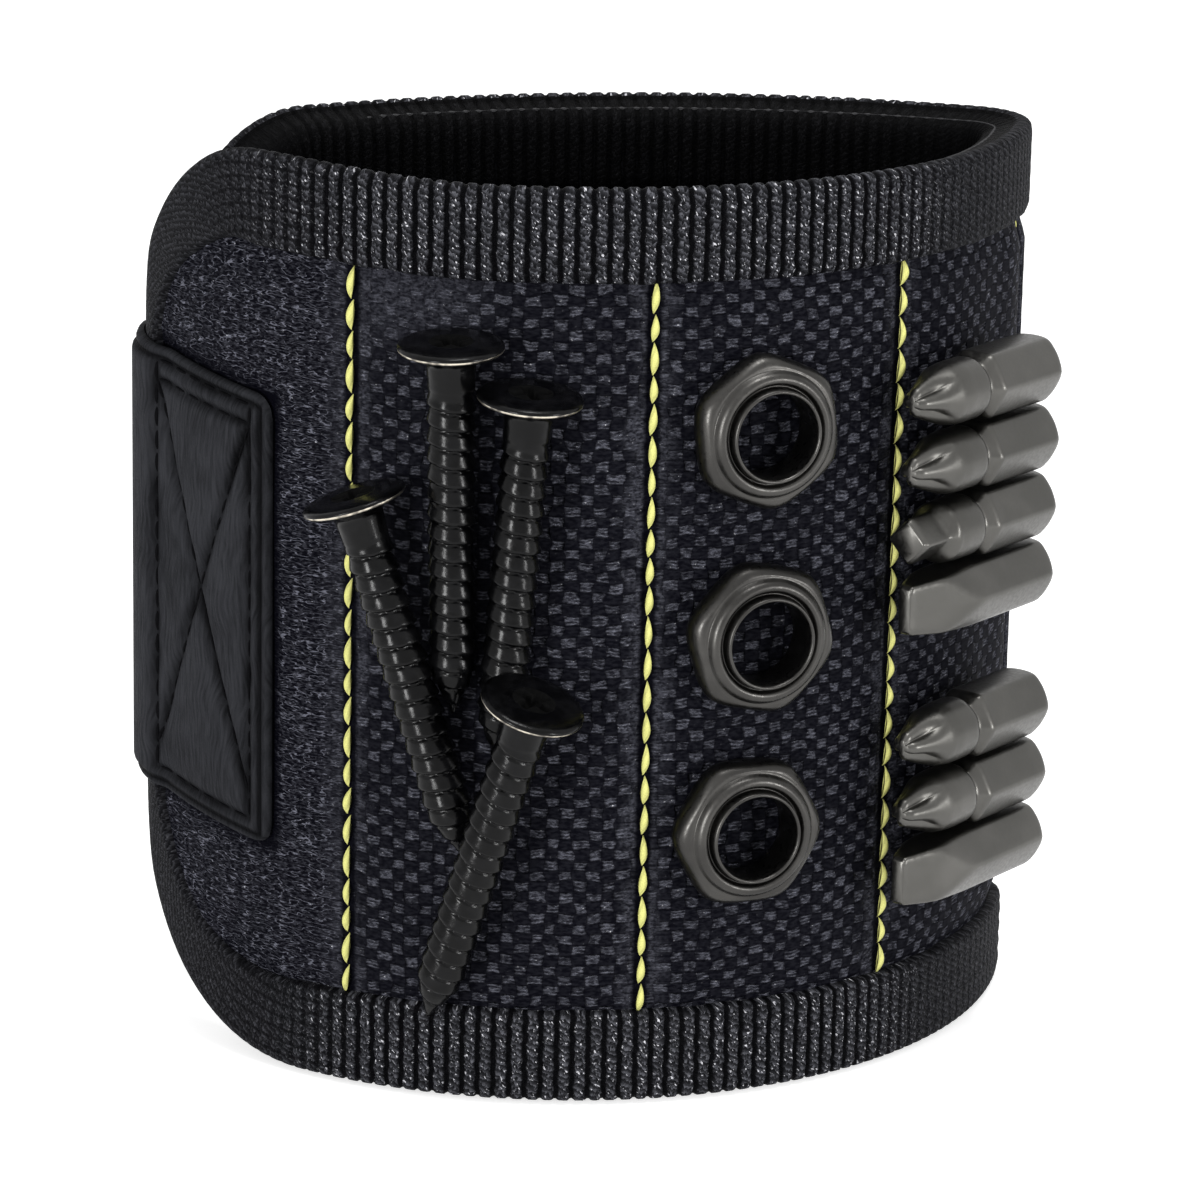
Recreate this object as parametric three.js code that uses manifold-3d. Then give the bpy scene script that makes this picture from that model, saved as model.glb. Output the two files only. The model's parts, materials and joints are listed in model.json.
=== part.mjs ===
// Magnetic wristband, closed on itself as it is worn, holding screws, nuts and driver bits.
// Millimetres, +Z up. The front face with the hardware looks along -Y and the closing strap is behind.
// Places on the band are given as a distance along its outer face, from the middle of the front and
// growing towards +X, a height, and an offset from the outer face of the binding, outwards positive.
import * as THREE from "three";
import { mergeVertices } from "three/addons/utils/BufferGeometryUtils.js";
import Module from "manifold-3d";

const wasm = await Module();
wasm.setup();

// Driving dimensions of the closed loop
const bandHeight = 88;
const loopHalfLength = 43.3;
const frontDepth = 32.9;
const backDepth = 16.3;
const tipRadius = 7;

// Layers of the wall, and the clearance between pieces that lie on each other
const layerGap = 0.25;
const tapeThickness = 0.5;
const shellThickness = 0.8;
const coreThickness = 1.9;
const liningThickness = 0.7;

// Band panel: how far its near end passes the front, the gap left to its far end, the rounded
// corners and the visible width of the binding
const endBeyondFront = 3.76;
const endGap = 6.88;
const topCornerRadius = 20;
const bottomCornerRadius = 26;
const bindingWidth = 8.8;
const endBindingWidth = 4;
const foldRadius = 1.2;
const seamGap = 0.4;

// Stitched pockets and their magnets
const firstStitchLine = -29.3;
const firstPocketWidth = 29.2;
const pocketPitch = 27.1;
const stitchLineCount = 5;
const stitchesPerLine = 25;
const threadRadius = 0.36;
const threadPinch = 0.14;
const threadGap = 0.2;
const grooveDepth = 0.45;
const grooveSlope = 0.25;
const magnetDiameter = 12;
const magnetThickness = 1.5;
const magnetClearance = 0.3;
const magnetRowShares = [0.734, 0.514, 0.293];

// Opening slit beside the first stitch line, where the near end swings away
const hingeGap = 0.6;
const hingeToStitch = 1.2;

// Leather patch over the root of the strap
const patchLap = 4;
const patchWidth = 26;
const patchHeight = 44;
const patchAboveMiddle = 1.4;
const patchThickness = 0.7;
const patchCornerRadius = 3;
const patchSlope = -0.13;
const patchStep = 1.1;
const patchStepBefore = 1.6;
const patchStitchInset = 2.4;
const patchBoxWidth = 14;
const patchThreadRadius = 0.25;

// Closing strap, hook pads and grip tab
const strapThickness = 0.8;
const strapWidth = 41;
const strapAboveMiddle = 2.4;
const strapJointGap = 0.5;
const strapRootLength = 4.7;
const strapLinkLength = 21.4;
const strapRiseLength = 12;
const hookThickness = 0.9;
const hookInset = 1.6;
const hookSideInset = 2;
const tabLength = 8.5;
const tabThickness = 0.7;
const tabLap = 2.4;
const tabBeyond = 1.5;

// Loop field on the outside of the far end
const loopFieldMargin = 2;
const loopFieldLength = 46;
const loopFieldHeight = 50;
const loopFieldThickness = 1.1;

// Held screws
const screwLength = 36;
const screwHeadDiameter = 9.8;
const screwHeadThickness = 0.9;
const screwUnderHead = 1;
const screwShankDiameter = 4.3;
const screwNeckDiameter = 4.5;
const screwNeckLength = 2.4;
const screwPointLength = 5;
const screwPitch = 2;
const screwGrooveDepth = 0.25;
const screwRecessWidth = 1;
const screwRecessSpan = 4.2;
const screwRecessDepth = 0.7;

// Held nuts, metric M8
const nutAcrossFlats = 13.8;
const nutRoundDiameter = 14.7;
const nutThickness = 4.4;
const nutBore = 8;
const nutRingDiameter = 12.4;
const nutLipDiameter = 9.2;
const nutStep = 0.5;
const nutFlangeThickness = 3;
const nutChamfer = 0.9;
const nutSides = 20;

// Held driver bits, quarter-inch hexagon
const bitLength = 21;
const bitAcrossFlats = 6.35;
const bitStackGap = 0.3;
const bitShankLength = 10.5;
const bitNeckDiameter = 4.6;
const bitNeckLength = 1.6;
const bitBodyDiameter = 6;
const bitBodyLength = 4;
const bitChamfer = 0.5;
const bitPointDiameter = 2.2;
const bitWingThickness = 1.3;
const bitFluteLength = 5.6;
const bitFluteSlope = 0.2;
const bitSquareSide = 3.6;
const bitBladeLength = 9;
const bitBladeWidth = 4.7;
const bitBladeThickness = 1.4;
const bitOverlap = 0.2;

// Mesh fineness
const facetLength = 5.5;
const facetAngle = THREE.MathUtils.degToRad(14);
const cornerSteps = 9;
const patchCornerSteps = 3;
const tapeSteps = 2;
const roundSides = 12;
const smallSides = 4;
const hexagonSides = 6;
const cutOverrun = 1;

// Layer offsets, worked out from the thicknesses
const shellOuter = -(tapeThickness + layerGap);
const shellInner = shellOuter - shellThickness;
const coreOuter = shellInner - layerGap;
const coreInner = coreOuter - coreThickness;
const liningOuter = coreInner - layerGap;
const liningInner = liningOuter - liningThickness;
const wallInner = liningInner - layerGap - tapeThickness;
const layerInset = tapeThickness + 2 * layerGap;

// The loop is four tangent arcs: a deep front, a shallow back and two tight tips
const tipCentre = loopHalfLength - tipRadius;
const sideRadius = (depth) => (tipCentre ** 2 + depth ** 2 - tipRadius ** 2) / (2 * (depth - tipRadius));
const frontRadius = sideRadius(frontDepth);
const backRadius = sideRadius(backDepth);
const frontAngle = Math.atan2(tipCentre, frontRadius - frontDepth);
const backAngle = Math.atan2(tipCentre, backRadius - backDepth);
const tipAngle = Math.PI - frontAngle - backAngle;

const loopArcs = [
  { x: 0, y: frontRadius - frontDepth, radius: frontRadius, sweep: frontAngle },
  { x: tipCentre, y: 0, radius: tipRadius, sweep: tipAngle },
  { x: 0, y: backDepth - backRadius, radius: backRadius, sweep: 2 * backAngle },
  { x: -tipCentre, y: 0, radius: tipRadius, sweep: tipAngle },
  { x: 0, y: frontRadius - frontDepth, radius: frontRadius, sweep: frontAngle },
];
let arcStart = 0;
let arcTurn = -Math.PI / 2;
for (const arc of loopArcs) {
  arc.from = arcStart;
  arc.turn = arcTurn;
  arcStart += arc.radius * arc.sweep;
  arcTurn += arc.sweep;
}
const perimeter = arcStart;
const nearEnd = -(frontRadius * frontAngle + endBeyondFront);
const farEnd = nearEnd + perimeter - endGap;

// Outward normal angle of the wall at a distance along it, with the arc that holds it
function wallAt(along) {
  const wrapped = ((along % perimeter) + perimeter) % perimeter;
  const arc = loopArcs.findLast((candidate) => candidate.from <= wrapped);
  return { arc, angle: arc.turn + (wrapped - arc.from) / arc.radius };
}

function onWall(along, offset, height) {
  const { arc, angle } = wallAt(along);
  const reach = arc.radius + offset;
  return new THREE.Vector3(arc.x + reach * Math.cos(angle), arc.y + reach * Math.sin(angle), height);
}

function outwardAt(along) {
  const { angle } = wallAt(along);
  return new THREE.Vector3(Math.cos(angle), Math.sin(angle), 0);
}

// Stations where the faceted wall bends, shared by all layers so that they nest
const wallStations = [];
for (const lap of [-1, 0]) {
  for (const arc of loopArcs) {
    const length = arc.radius * arc.sweep;
    const steps = Math.ceil(Math.max(length / facetLength, arc.sweep / facetAngle));
    for (let step = 0; step < steps; step += 1) {
      wallStations.push(lap * perimeter + arc.from + (length * step) / steps);
    }
  }
}

function stationsBetween(from, to, extra = []) {
  const inside = [...wallStations, ...extra].filter((along) => along > from && along < to);
  return [...new Set([from, ...inside.sort((a, b) => a - b), to])];
}

// A ring is a closed outline in space, kept with its flat profile for the end caps
const wallRing = (along, profile) => ({
  points: profile.map(([offset, height]) => onWall(along, offset, height)),
  profile,
});
const levelRing = (height, profile) => ({
  points: profile.map(([along, offset]) => onWall(along, offset, height)),
  profile,
});

function capTriangles(profile) {
  const outline = profile.map(([x, y]) => new THREE.Vector2(x, y));
  const triangles = THREE.ShapeUtils.triangulateShape(outline, []);
  const turn = Math.sign(THREE.ShapeUtils.area(outline));
  return triangles.map(([a, b, c]) => {
    const same = Math.sign(THREE.ShapeUtils.area([outline[a], outline[b], outline[c]])) === turn;
    return same ? [a, b, c] : [a, c, b];
  });
}

function signedVolume(points, triangles) {
  const cross = new THREE.Vector3();
  return triangles.reduce((sum, [a, b, c]) => {
    cross.crossVectors(points[b], points[c]);
    return sum + points[a].dot(cross) / 6;
  }, 0);
}

// Closed body through a row of rings
function loft(rings) {
  const sides = rings[0].points.length;
  const points = rings.flatMap((ring) => ring.points);
  const triangles = [];
  for (let ring = 0; ring + 1 < rings.length; ring += 1) {
    for (let side = 0; side < sides; side += 1) {
      const a = ring * sides + side;
      const b = ring * sides + ((side + 1) % sides);
      triangles.push([a, b, b + sides], [a, b + sides, a + sides]);
    }
  }
  const last = (rings.length - 1) * sides;
  for (const [a, b, c] of capTriangles(rings[0].profile)) triangles.push([a, c, b]);
  for (const [a, b, c] of capTriangles(rings.at(-1).profile)) triangles.push([last + a, last + b, last + c]);
  const outward = signedVolume(points, triangles) > 0;
  const geometry = new THREE.BufferGeometry().setFromPoints(points);
  geometry.setIndex(triangles.flatMap(([a, b, c]) => (outward ? [a, b, c] : [a, c, b])));
  return geometry;
}

// Joining and cutting of closed bodies
function toSolid(geometry) {
  const bare = geometry.clone();
  bare.deleteAttribute("normal");
  bare.deleteAttribute("uv");
  const merged = mergeVertices(bare, 1e-4);
  return new wasm.Manifold(new wasm.Mesh({
    numProp: 3,
    vertProperties: Float32Array.from(merged.attributes.position.array),
    triVerts: Uint32Array.from(merged.index.array),
  }));
}

function toGeometry(solid) {
  const mesh = solid.getMesh();
  const geometry = new THREE.BufferGeometry();
  geometry.setAttribute("position", new THREE.BufferAttribute(Float32Array.from(mesh.vertProperties), 3));
  geometry.setIndex(Array.from(mesh.triVerts));
  return geometry;
}

const subtractAll = (geometry, cutters) =>
  toGeometry(cutters.reduce((solid, cutter) => solid.subtract(toSolid(cutter)), toSolid(geometry)));
const joinAll = (geometries) =>
  toGeometry(geometries.slice(1).reduce((solid, more) => solid.add(toSolid(more)), toSolid(geometries[0])));

// Finishes
function finish(color, roughness, metalness) {
  return new THREE.MeshStandardMaterial({ color, roughness, metalness });
}
const nylon = finish(0x1d1e28, 0.75, 0);
const ribbedTape = finish(0x17181e, 0.7, 0);
const liningMesh = finish(0x0e0e11, 0.9, 0);
const foam = finish(0x2b2b2e, 0.95, 0);
const leather = finish(0x1b1c20, 0.55, 0);
const webbing = finish(0x131418, 0.8, 0);
const hookPile = finish(0x0f1013, 0.95, 0);
const yellowThread = finish(0xdedc7d, 0.6, 0);
const darkThread = finish(0x0b0b0e, 0.7, 0);
const magnetPlate = finish(0x9a9ca0, 0.3, 1);
const blackSteel = finish(0x16171a, 0.25, 0.8);
const gunMetal = finish(0x5a5350, 0.3, 0.95);
const bitSteel = finish(0x6e6b68, 0.32, 0.95);

const wristband = new THREE.Group();
function add(name, geometry, material) {
  const piece = new THREE.Mesh(geometry, material);
  piece.name = name;
  wristband.add(piece);
  return piece;
}

// Panel layers: height lost at a rounded corner, and the stations that follow it
function cornerRise(along, inset, cornerRadius) {
  const radius = cornerRadius - inset;
  const nearReach = radius - (along - nearEnd - inset);
  const farReach = radius - (farEnd - inset - along);
  const reach = Math.min(Math.max(nearReach, farReach, 0), radius);
  return radius - Math.sqrt(radius ** 2 - reach ** 2);
}

function cornerStations(inset, cornerRadius) {
  const radius = cornerRadius - inset;
  const stations = [];
  for (let step = 1; step <= cornerSteps; step += 1) {
    const reach = radius * (1 - Math.cos((step * Math.PI) / 2 / cornerSteps));
    stations.push(nearEnd + inset + reach, farEnd - inset - reach);
  }
  return stations;
}

function panelLayer(from, to, outerAt, inner, extra = []) {
  const top = cornerStations(layerInset, topCornerRadius);
  const bottom = cornerStations(layerInset, bottomCornerRadius);
  return loft(stationsBetween(from, to, [...top, ...bottom, ...extra]).map((along) => {
    const low = layerInset + cornerRise(along, layerInset, bottomCornerRadius);
    const high = bandHeight - layerInset - cornerRise(along, layerInset, topCornerRadius);
    const outer = outerAt(along);
    return wallRing(along, [[outer, low], [outer, high], [inner, high], [inner, low]]);
  }));
}

const secondStitchLine = firstStitchLine + firstPocketWidth;
const stitchLines = [firstStitchLine,
  ...Array.from({ length: stitchLineCount - 1 }, (_, line) => secondStitchLine + line * pocketPitch)];
const betweenLines = (line, share) => THREE.MathUtils.lerp(stitchLines[line], stitchLines[line + 1], share);
const hingeAlong = firstStitchLine - hingeToStitch;
const flapEdge = hingeAlong - hingeGap / 2;
const mainEdge = hingeAlong + hingeGap / 2;
const panelNear = nearEnd + layerInset;
const panelFar = farEnd - layerInset;

// Outer fabric, with a shallow groove under each line of stitches
const grooveHalf = threadRadius + threadGap;
const grooveStations = stitchLines.flatMap((line) => [
  line - grooveHalf - grooveSlope, line - grooveHalf, line + grooveHalf, line + grooveHalf + grooveSlope,
]);
function shellOuterAt(along) {
  const nearest = Math.min(...stitchLines.map((line) => Math.abs(along - line)));
  const share = THREE.MathUtils.clamp((grooveHalf + grooveSlope - nearest) / grooveSlope, 0, 1);
  return shellOuter - grooveDepth * share;
}
add("outer_fabric_near_end", panelLayer(panelNear, flapEdge, shellOuterAt, shellInner), nylon);
add("outer_fabric_main", panelLayer(mainEdge, panelFar, shellOuterAt, shellInner, grooveStations), nylon);

// Inner mesh lining
add("mesh_lining_near_end", panelLayer(panelNear, flapEdge, () => liningOuter, liningInner), liningMesh);
add("mesh_lining_main", panelLayer(mainEdge, panelFar, () => liningOuter, liningInner), liningMesh);

// Magnets, one column in each pocket, and the foam core that is punched out around them
const pocketMiddles = [(nearEnd + endBindingWidth + firstStitchLine) / 2,
  betweenLines(0, 0.5), betweenLines(1, 0.5), betweenLines(2, 0.5)];
const magnetRows = magnetRowShares.map((share) => share * bandHeight);
const magnetSagitta = (magnetDiameter / 2) ** 2 / (2 * frontRadius);
const magnetOffset = coreOuter - magnetThickness / 2 - magnetSagitta - layerGap / 2;

function discOnWall(along, offset, height, diameter, thickness) {
  const disc = new THREE.CylinderGeometry(diameter / 2, diameter / 2, thickness, roundSides);
  const lie = new THREE.Quaternion().setFromUnitVectors(new THREE.Vector3(0, 1, 0), outwardAt(along));
  disc.applyQuaternion(lie);
  const place = onWall(along, offset, height);
  return disc.translate(place.x, place.y, place.z);
}

const holeDiameter = magnetDiameter + 2 * magnetClearance;
const holeDepth = coreThickness + 2 * cutOverrun;
const coreMiddle = (coreOuter + coreInner) / 2;
const magnetHoles = [];
pocketMiddles.forEach((along, pocket) => {
  const holeAt = (height) => discOnWall(along, coreMiddle, height, holeDiameter, holeDepth);
  magnetHoles.push(magnetRows.map(holeAt));
  magnetRows.forEach((height, row) => {
    const disc = discOnWall(along, magnetOffset, height, magnetDiameter, magnetThickness);
    add(`magnet_${pocket + 1}_${row + 1}`, disc, magnetPlate);
  });
});
const nearCore = panelLayer(panelNear, flapEdge, () => coreOuter, coreInner);
add("foam_core_near_end", subtractAll(nearCore, magnetHoles[0]), foam);
const mainCore = panelLayer(mainEdge, panelFar, () => coreOuter, coreInner);
add("foam_core_main", subtractAll(mainCore, magnetHoles.slice(1).flat()), foam);

// Binding: a tape folded over the edge of the layers, swept along the outline of the panel
function tapeProfile(width) {
  const bevel = foldRadius * (1 - Math.SQRT1_2);
  const run = (from, to) => Array.from({ length: tapeSteps + 1 }, (_, step) => [
    THREE.MathUtils.lerp(from[0], to[0], step / tapeSteps),
    THREE.MathUtils.lerp(from[1], to[1], step / tapeSteps),
  ]);
  const inside = wallInner + tapeThickness;
  return [
    ...run([width, 0], [foldRadius, 0]), [bevel, -bevel],
    ...run([0, -foldRadius], [0, wallInner + foldRadius]), [bevel, wallInner + bevel],
    ...run([foldRadius, wallInner], [width, wallInner]),
    ...run([width, inside], [tapeThickness, inside]).slice(0, -1),
    ...run([tapeThickness, inside], [tapeThickness, -tapeThickness]).slice(0, -1),
    ...run([tapeThickness, -tapeThickness], [width, -tapeThickness]),
  ];
}

function tapeRing({ along, height, inward, width }) {
  const profile = tapeProfile(width);
  const points = profile.map(([depth, offset]) =>
    onWall(along + depth * inward.x, offset, height + depth * inward.y));
  return { points, profile };
}

// Outline of the panel's edge from an inner place to one end, round the corner and down
function edgeOutline(from, end, bottom, cornerRadius) {
  const side = Math.sign(end - from);
  const cornerFrom = end - side * cornerRadius;
  const straight = stationsBetween(Math.min(from, cornerFrom), Math.max(from, cornerFrom));
  if (side < 0) straight.reverse();
  const outline = straight.map((along) => (
    { along, height: bandHeight, inward: new THREE.Vector2(0, -1), width: bindingWidth }));
  for (let step = 1; step <= cornerSteps; step += 1) {
    const turn = (step * Math.PI) / 2 / cornerSteps;
    const inward = new THREE.Vector2(-side * Math.sin(turn), -Math.cos(turn));
    outline.push({
      along: cornerFrom - cornerRadius * inward.x,
      height: bandHeight - cornerRadius - cornerRadius * inward.y,
      inward,
      width: THREE.MathUtils.lerp(bindingWidth, endBindingWidth, step / cornerSteps),
    });
  }
  outline.push({ along: end, height: bottom, inward: new THREE.Vector2(-side, 0), width: endBindingWidth });
  return outline;
}
const mirrored = (outline) => outline.map((place) => ({
  ...place,
  height: bandHeight - place.height,
  inward: new THREE.Vector2(place.inward.x, -place.inward.y),
}));

const nearTop = edgeOutline(flapEdge, nearEnd, bandHeight / 2, topCornerRadius);
const nearBottom = mirrored(edgeOutline(flapEdge, nearEnd, bandHeight / 2, bottomCornerRadius));
add("binding_near_end", loft([...nearTop, ...nearBottom.reverse().slice(1)].map(tapeRing)), ribbedTape);
const farTop = edgeOutline(mainEdge, farEnd, (bandHeight + seamGap) / 2, topCornerRadius);
const farBottom = mirrored(edgeOutline(mainEdge, farEnd, (bandHeight + seamGap) / 2, bottomCornerRadius));
add("binding_top", loft(farTop.map(tapeRing)), ribbedTape);
add("binding_bottom", loft(farBottom.map(tapeRing)), ribbedTape);

// Lines of yellow stitches: a chain of tapered stitches, pinched where the thread dips into the cloth
const stitchRun = bandHeight - 2 * (bindingWidth + layerGap);
const stitchLength = stitchRun / stitchesPerLine;
function stitchChain() {
  const outline = [new THREE.Vector2(0, 0)];
  for (let stitch = 0; stitch < stitchesPerLine; stitch += 1) {
    outline.push(new THREE.Vector2(threadPinch, stitch * stitchLength));
    outline.push(new THREE.Vector2(threadRadius, (stitch + 0.5) * stitchLength));
  }
  outline.push(new THREE.Vector2(threadPinch, stitchRun), new THREE.Vector2(0, stitchRun));
  return new THREE.LatheGeometry(outline, smallSides).rotateX(Math.PI / 2);
}
const threadOffset = shellOuter - grooveDepth + threadGap + threadRadius;
stitchLines.forEach((along, line) => {
  const place = onWall(along, threadOffset, bindingWidth + layerGap);
  add(`stitch_line_${line + 1}`, stitchChain(), yellowThread).position.copy(place);
});

// Level of the inner face of a strip at a place, from a list of places that runs away from the front
function levelAt(levels, along) {
  const next = levels.findIndex((level) => level.along <= along);
  if (next === 0) return levels[0].inner;
  if (next < 0) return levels.at(-1).inner;
  const [before, after] = [levels[next - 1], levels[next]];
  return THREE.MathUtils.mapLinear(along, before.along, after.along, before.inner, after.inner);
}

// Strap: it starts under the end of the patch, in the gap between the band's two ends, then lies on
// the binding of the far end and rises over the hook pads
const patchTo = nearEnd - patchLap;
const strapMiddleHeight = bandHeight / 2 + strapAboveMiddle;
const loopFieldOuter = shellOuter + layerGap + loopFieldThickness;
const strapRaised = loopFieldOuter + 2 * layerGap + hookThickness;
const strapFrom = nearEnd - strapJointGap;
const strapRootEnd = strapFrom - strapRootLength;
const linkPitch = strapLinkLength + strapJointGap;
const linkStarts = [0, 1, 2].map((link) => strapRootEnd - strapJointGap - link * linkPitch);
const strapEnd = linkStarts[2] - strapLinkLength;
const loopFieldFrom = linkStarts[1] + loopFieldMargin;
const strapLevels = [
  { along: patchTo - layerGap, inner: -strapThickness },
  { along: farEnd - perimeter + layerGap, inner: layerGap },
  { along: loopFieldFrom + strapRiseLength, inner: layerGap },
  { along: loopFieldFrom, inner: strapRaised },
];
const strapInnerAt = (along) => levelAt(strapLevels, along);

// Flat strip bent along the wall: from and to along it, its inner face, thickness and height range
function strip(from, to, innerAt, thickness, height, middle, extra = []) {
  return loft(stationsBetween(to, from, extra).map((along) => {
    const inner = innerAt(along);
    const outer = inner + thickness;
    const low = middle - height / 2;
    const high = middle + height / 2;
    return wallRing(along, [[outer, low], [outer, high], [inner, high], [inner, low]]);
  }));
}
function strapStrip(from, to) {
  const bends = strapLevels.map((level) => level.along);
  return strip(from, to, strapInnerAt, strapThickness, strapWidth, strapMiddleHeight, bends);
}

add("strap_root", strapStrip(strapFrom, strapRootEnd), webbing);
["strap_near", "strap_middle", "strap_tail"].forEach((name, link) => {
  add(name, strapStrip(linkStarts[link], linkStarts[link] - strapLinkLength), webbing);
});

// Hook pads under the two outer links of the strap, and the loop field that they press into
const hookFrom = [linkStarts[1] - hookInset, linkStarts[2] - hookInset];
const hookTo = [linkStarts[1] - strapLinkLength + hookInset, strapEnd + hookInset + tabLap];
["hook_pad_middle", "hook_pad_tail"].forEach((name, pad) => {
  add(name, strip(hookFrom[pad], hookTo[pad], () => loopFieldOuter + layerGap, hookThickness,
    strapWidth - 2 * hookSideInset, strapMiddleHeight), hookPile);
});
add("loop_field", strip(loopFieldFrom, loopFieldFrom - loopFieldLength, () => shellOuter + layerGap,
  loopFieldThickness, loopFieldHeight, strapMiddleHeight), hookPile);

// Grip tab: leather folded round the free end of the strap
const tabOuter = strapRaised + strapThickness + layerGap;
const tabInner = strapRaised - layerGap;
const tabFrom = strapEnd + tabLap;
const tabTo = tabFrom - tabLength;
const tabProfile = [
  [tabFrom, tabOuter], [tabFrom, tabOuter + tabThickness], [strapEnd, tabOuter + tabThickness],
  [tabTo, tabOuter + tabThickness], [tabTo, tabInner - tabThickness], [strapEnd, tabInner - tabThickness],
  [tabFrom, tabInner - tabThickness], [tabFrom, tabInner], [strapEnd - layerGap, tabInner],
  [strapEnd - layerGap, tabOuter],
];
const tabHalf = strapWidth / 2 + tabBeyond;
const tabRings = [-1, 1].map((side) => levelRing(strapMiddleHeight + side * tabHalf, tabProfile));
add("grip_tab", loft(tabRings), leather);

// Leather patch: flat on the fabric, then up over the end binding and on over the strap's root
const patchLevels = [
  { along: nearEnd + endBindingWidth + patchStepBefore + patchStep, inner: shellOuter + layerGap },
  { along: nearEnd + endBindingWidth + patchStepBefore, inner: layerGap },
];
const patchInnerAt = (along) => levelAt(patchLevels, along);
const patchStart = patchTo + patchWidth;
const patchMiddle = (patchStart + patchTo) / 2;
const patchMiddleHeight = bandHeight / 2 + patchAboveMiddle;
const patchLift = (along) => patchMiddleHeight + patchSlope * (along - patchMiddle);
const patchStops = patchLevels.map((level) => level.along);
for (let step = 1; step <= patchCornerSteps; step += 1) {
  const reach = patchCornerRadius * (1 - Math.cos((step * Math.PI) / 2 / patchCornerSteps));
  patchStops.push(patchStart - reach, patchTo + reach);
}
function patchHalfAt(along) {
  const toEdge = Math.min(patchStart - along, along - patchTo, patchCornerRadius);
  const reach = patchCornerRadius - toEdge;
  return patchHeight / 2 - patchCornerRadius + Math.sqrt(Math.max(patchCornerRadius ** 2 - reach ** 2, 0));
}
add("leather_patch", loft(stationsBetween(patchTo, patchStart, patchStops).map((along) => {
  const inner = patchInnerAt(along);
  const outer = inner + patchThickness;
  const low = patchLift(along) - patchHalfAt(along);
  const high = patchLift(along) + patchHalfAt(along);
  return wallRing(along, [[outer, low], [outer, high], [inner, high], [inner, low]]);
})), leather);

// Box with a cross, sewn through the patch: six runs of thread joined into one
const boxRight = patchStart - patchStitchInset;
const boxLeft = boxRight - patchBoxWidth;
const boxHalf = patchHeight / 2 - patchStitchInset;
function threadRun([fromAlong, fromSide], [toAlong, toSide]) {
  const steps = Math.max(1, Math.ceil(Math.abs(toAlong - fromAlong) / patchStep));
  const lateral = new THREE.Vector2(toSide - fromSide, fromAlong - toAlong).normalize();
  const rings = [];
  for (let step = 0; step <= steps; step += 1) {
    const along = THREE.MathUtils.lerp(fromAlong, toAlong, step / steps);
    const height = patchLift(along) + THREE.MathUtils.lerp(fromSide, toSide, step / steps);
    const highest = Math.max(...[-patchStep, 0, patchStep].map((reach) => patchInnerAt(along + reach)));
    const centre = highest + patchThickness + threadGap + patchThreadRadius;
    const profile = [];
    for (let side = 0; side < smallSides; side += 1) {
      const turn = (side * 2 * Math.PI) / smallSides;
      profile.push([patchThreadRadius * Math.cos(turn), patchThreadRadius * Math.sin(turn)]);
    }
    const points = profile.map(([across, up]) =>
      onWall(along + across * lateral.x, centre + up, height + across * lateral.y));
    rings.push({ points, profile });
  }
  return loft(rings);
}
const boxCorners = [[boxRight, boxHalf], [boxLeft, boxHalf], [boxLeft, -boxHalf], [boxRight, -boxHalf]];
const boxRuns = boxCorners.map((corner, side) => threadRun(corner, boxCorners[(side + 1) % 4]));
boxRuns.push(threadRun(boxCorners[0], boxCorners[2]), threadRun(boxCorners[1], boxCorners[3]));
add("patch_box_stitch", joinAll(boxRuns), darkThread);

// Held hardware sits on the fabric with the same clearance as the layers
const seat = shellOuter + layerGap;

// Screw, head at the origin and point along -Z
function screwGeometry() {
  const head = screwHeadDiameter / 2;
  const neck = screwNeckDiameter / 2;
  const shank = screwShankDiameter / 2;
  const outline = [
    new THREE.Vector2(0, 0), new THREE.Vector2(head - screwHeadThickness, 0),
    new THREE.Vector2(head, -screwHeadThickness / 2), new THREE.Vector2(head, -screwHeadThickness),
    new THREE.Vector2(neck, -screwHeadThickness - screwUnderHead),
    new THREE.Vector2(neck, -screwHeadThickness - screwUnderHead - screwNeckLength),
  ];
  const threadFrom = screwHeadThickness + screwUnderHead + screwNeckLength;
  const rings = Math.floor((screwLength - screwPointLength - threadFrom) / screwPitch);
  for (let ring = 0; ring < rings; ring += 1) {
    const top = -threadFrom - ring * screwPitch;
    outline.push(new THREE.Vector2(shank - screwGrooveDepth, top));
    outline.push(new THREE.Vector2(shank, top - screwPitch / 4), new THREE.Vector2(shank, top - screwPitch));
  }
  outline.push(new THREE.Vector2(0, -screwLength));
  const body = new THREE.LatheGeometry(outline.reverse(), smallSides * 2).rotateX(Math.PI / 2);
  const slot = () => new THREE.BoxGeometry(screwRecessSpan, screwRecessWidth, 2 * screwRecessDepth);
  return subtractAll(body, [slot(), slot().rotateZ(Math.PI / 2)]);
}

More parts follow.
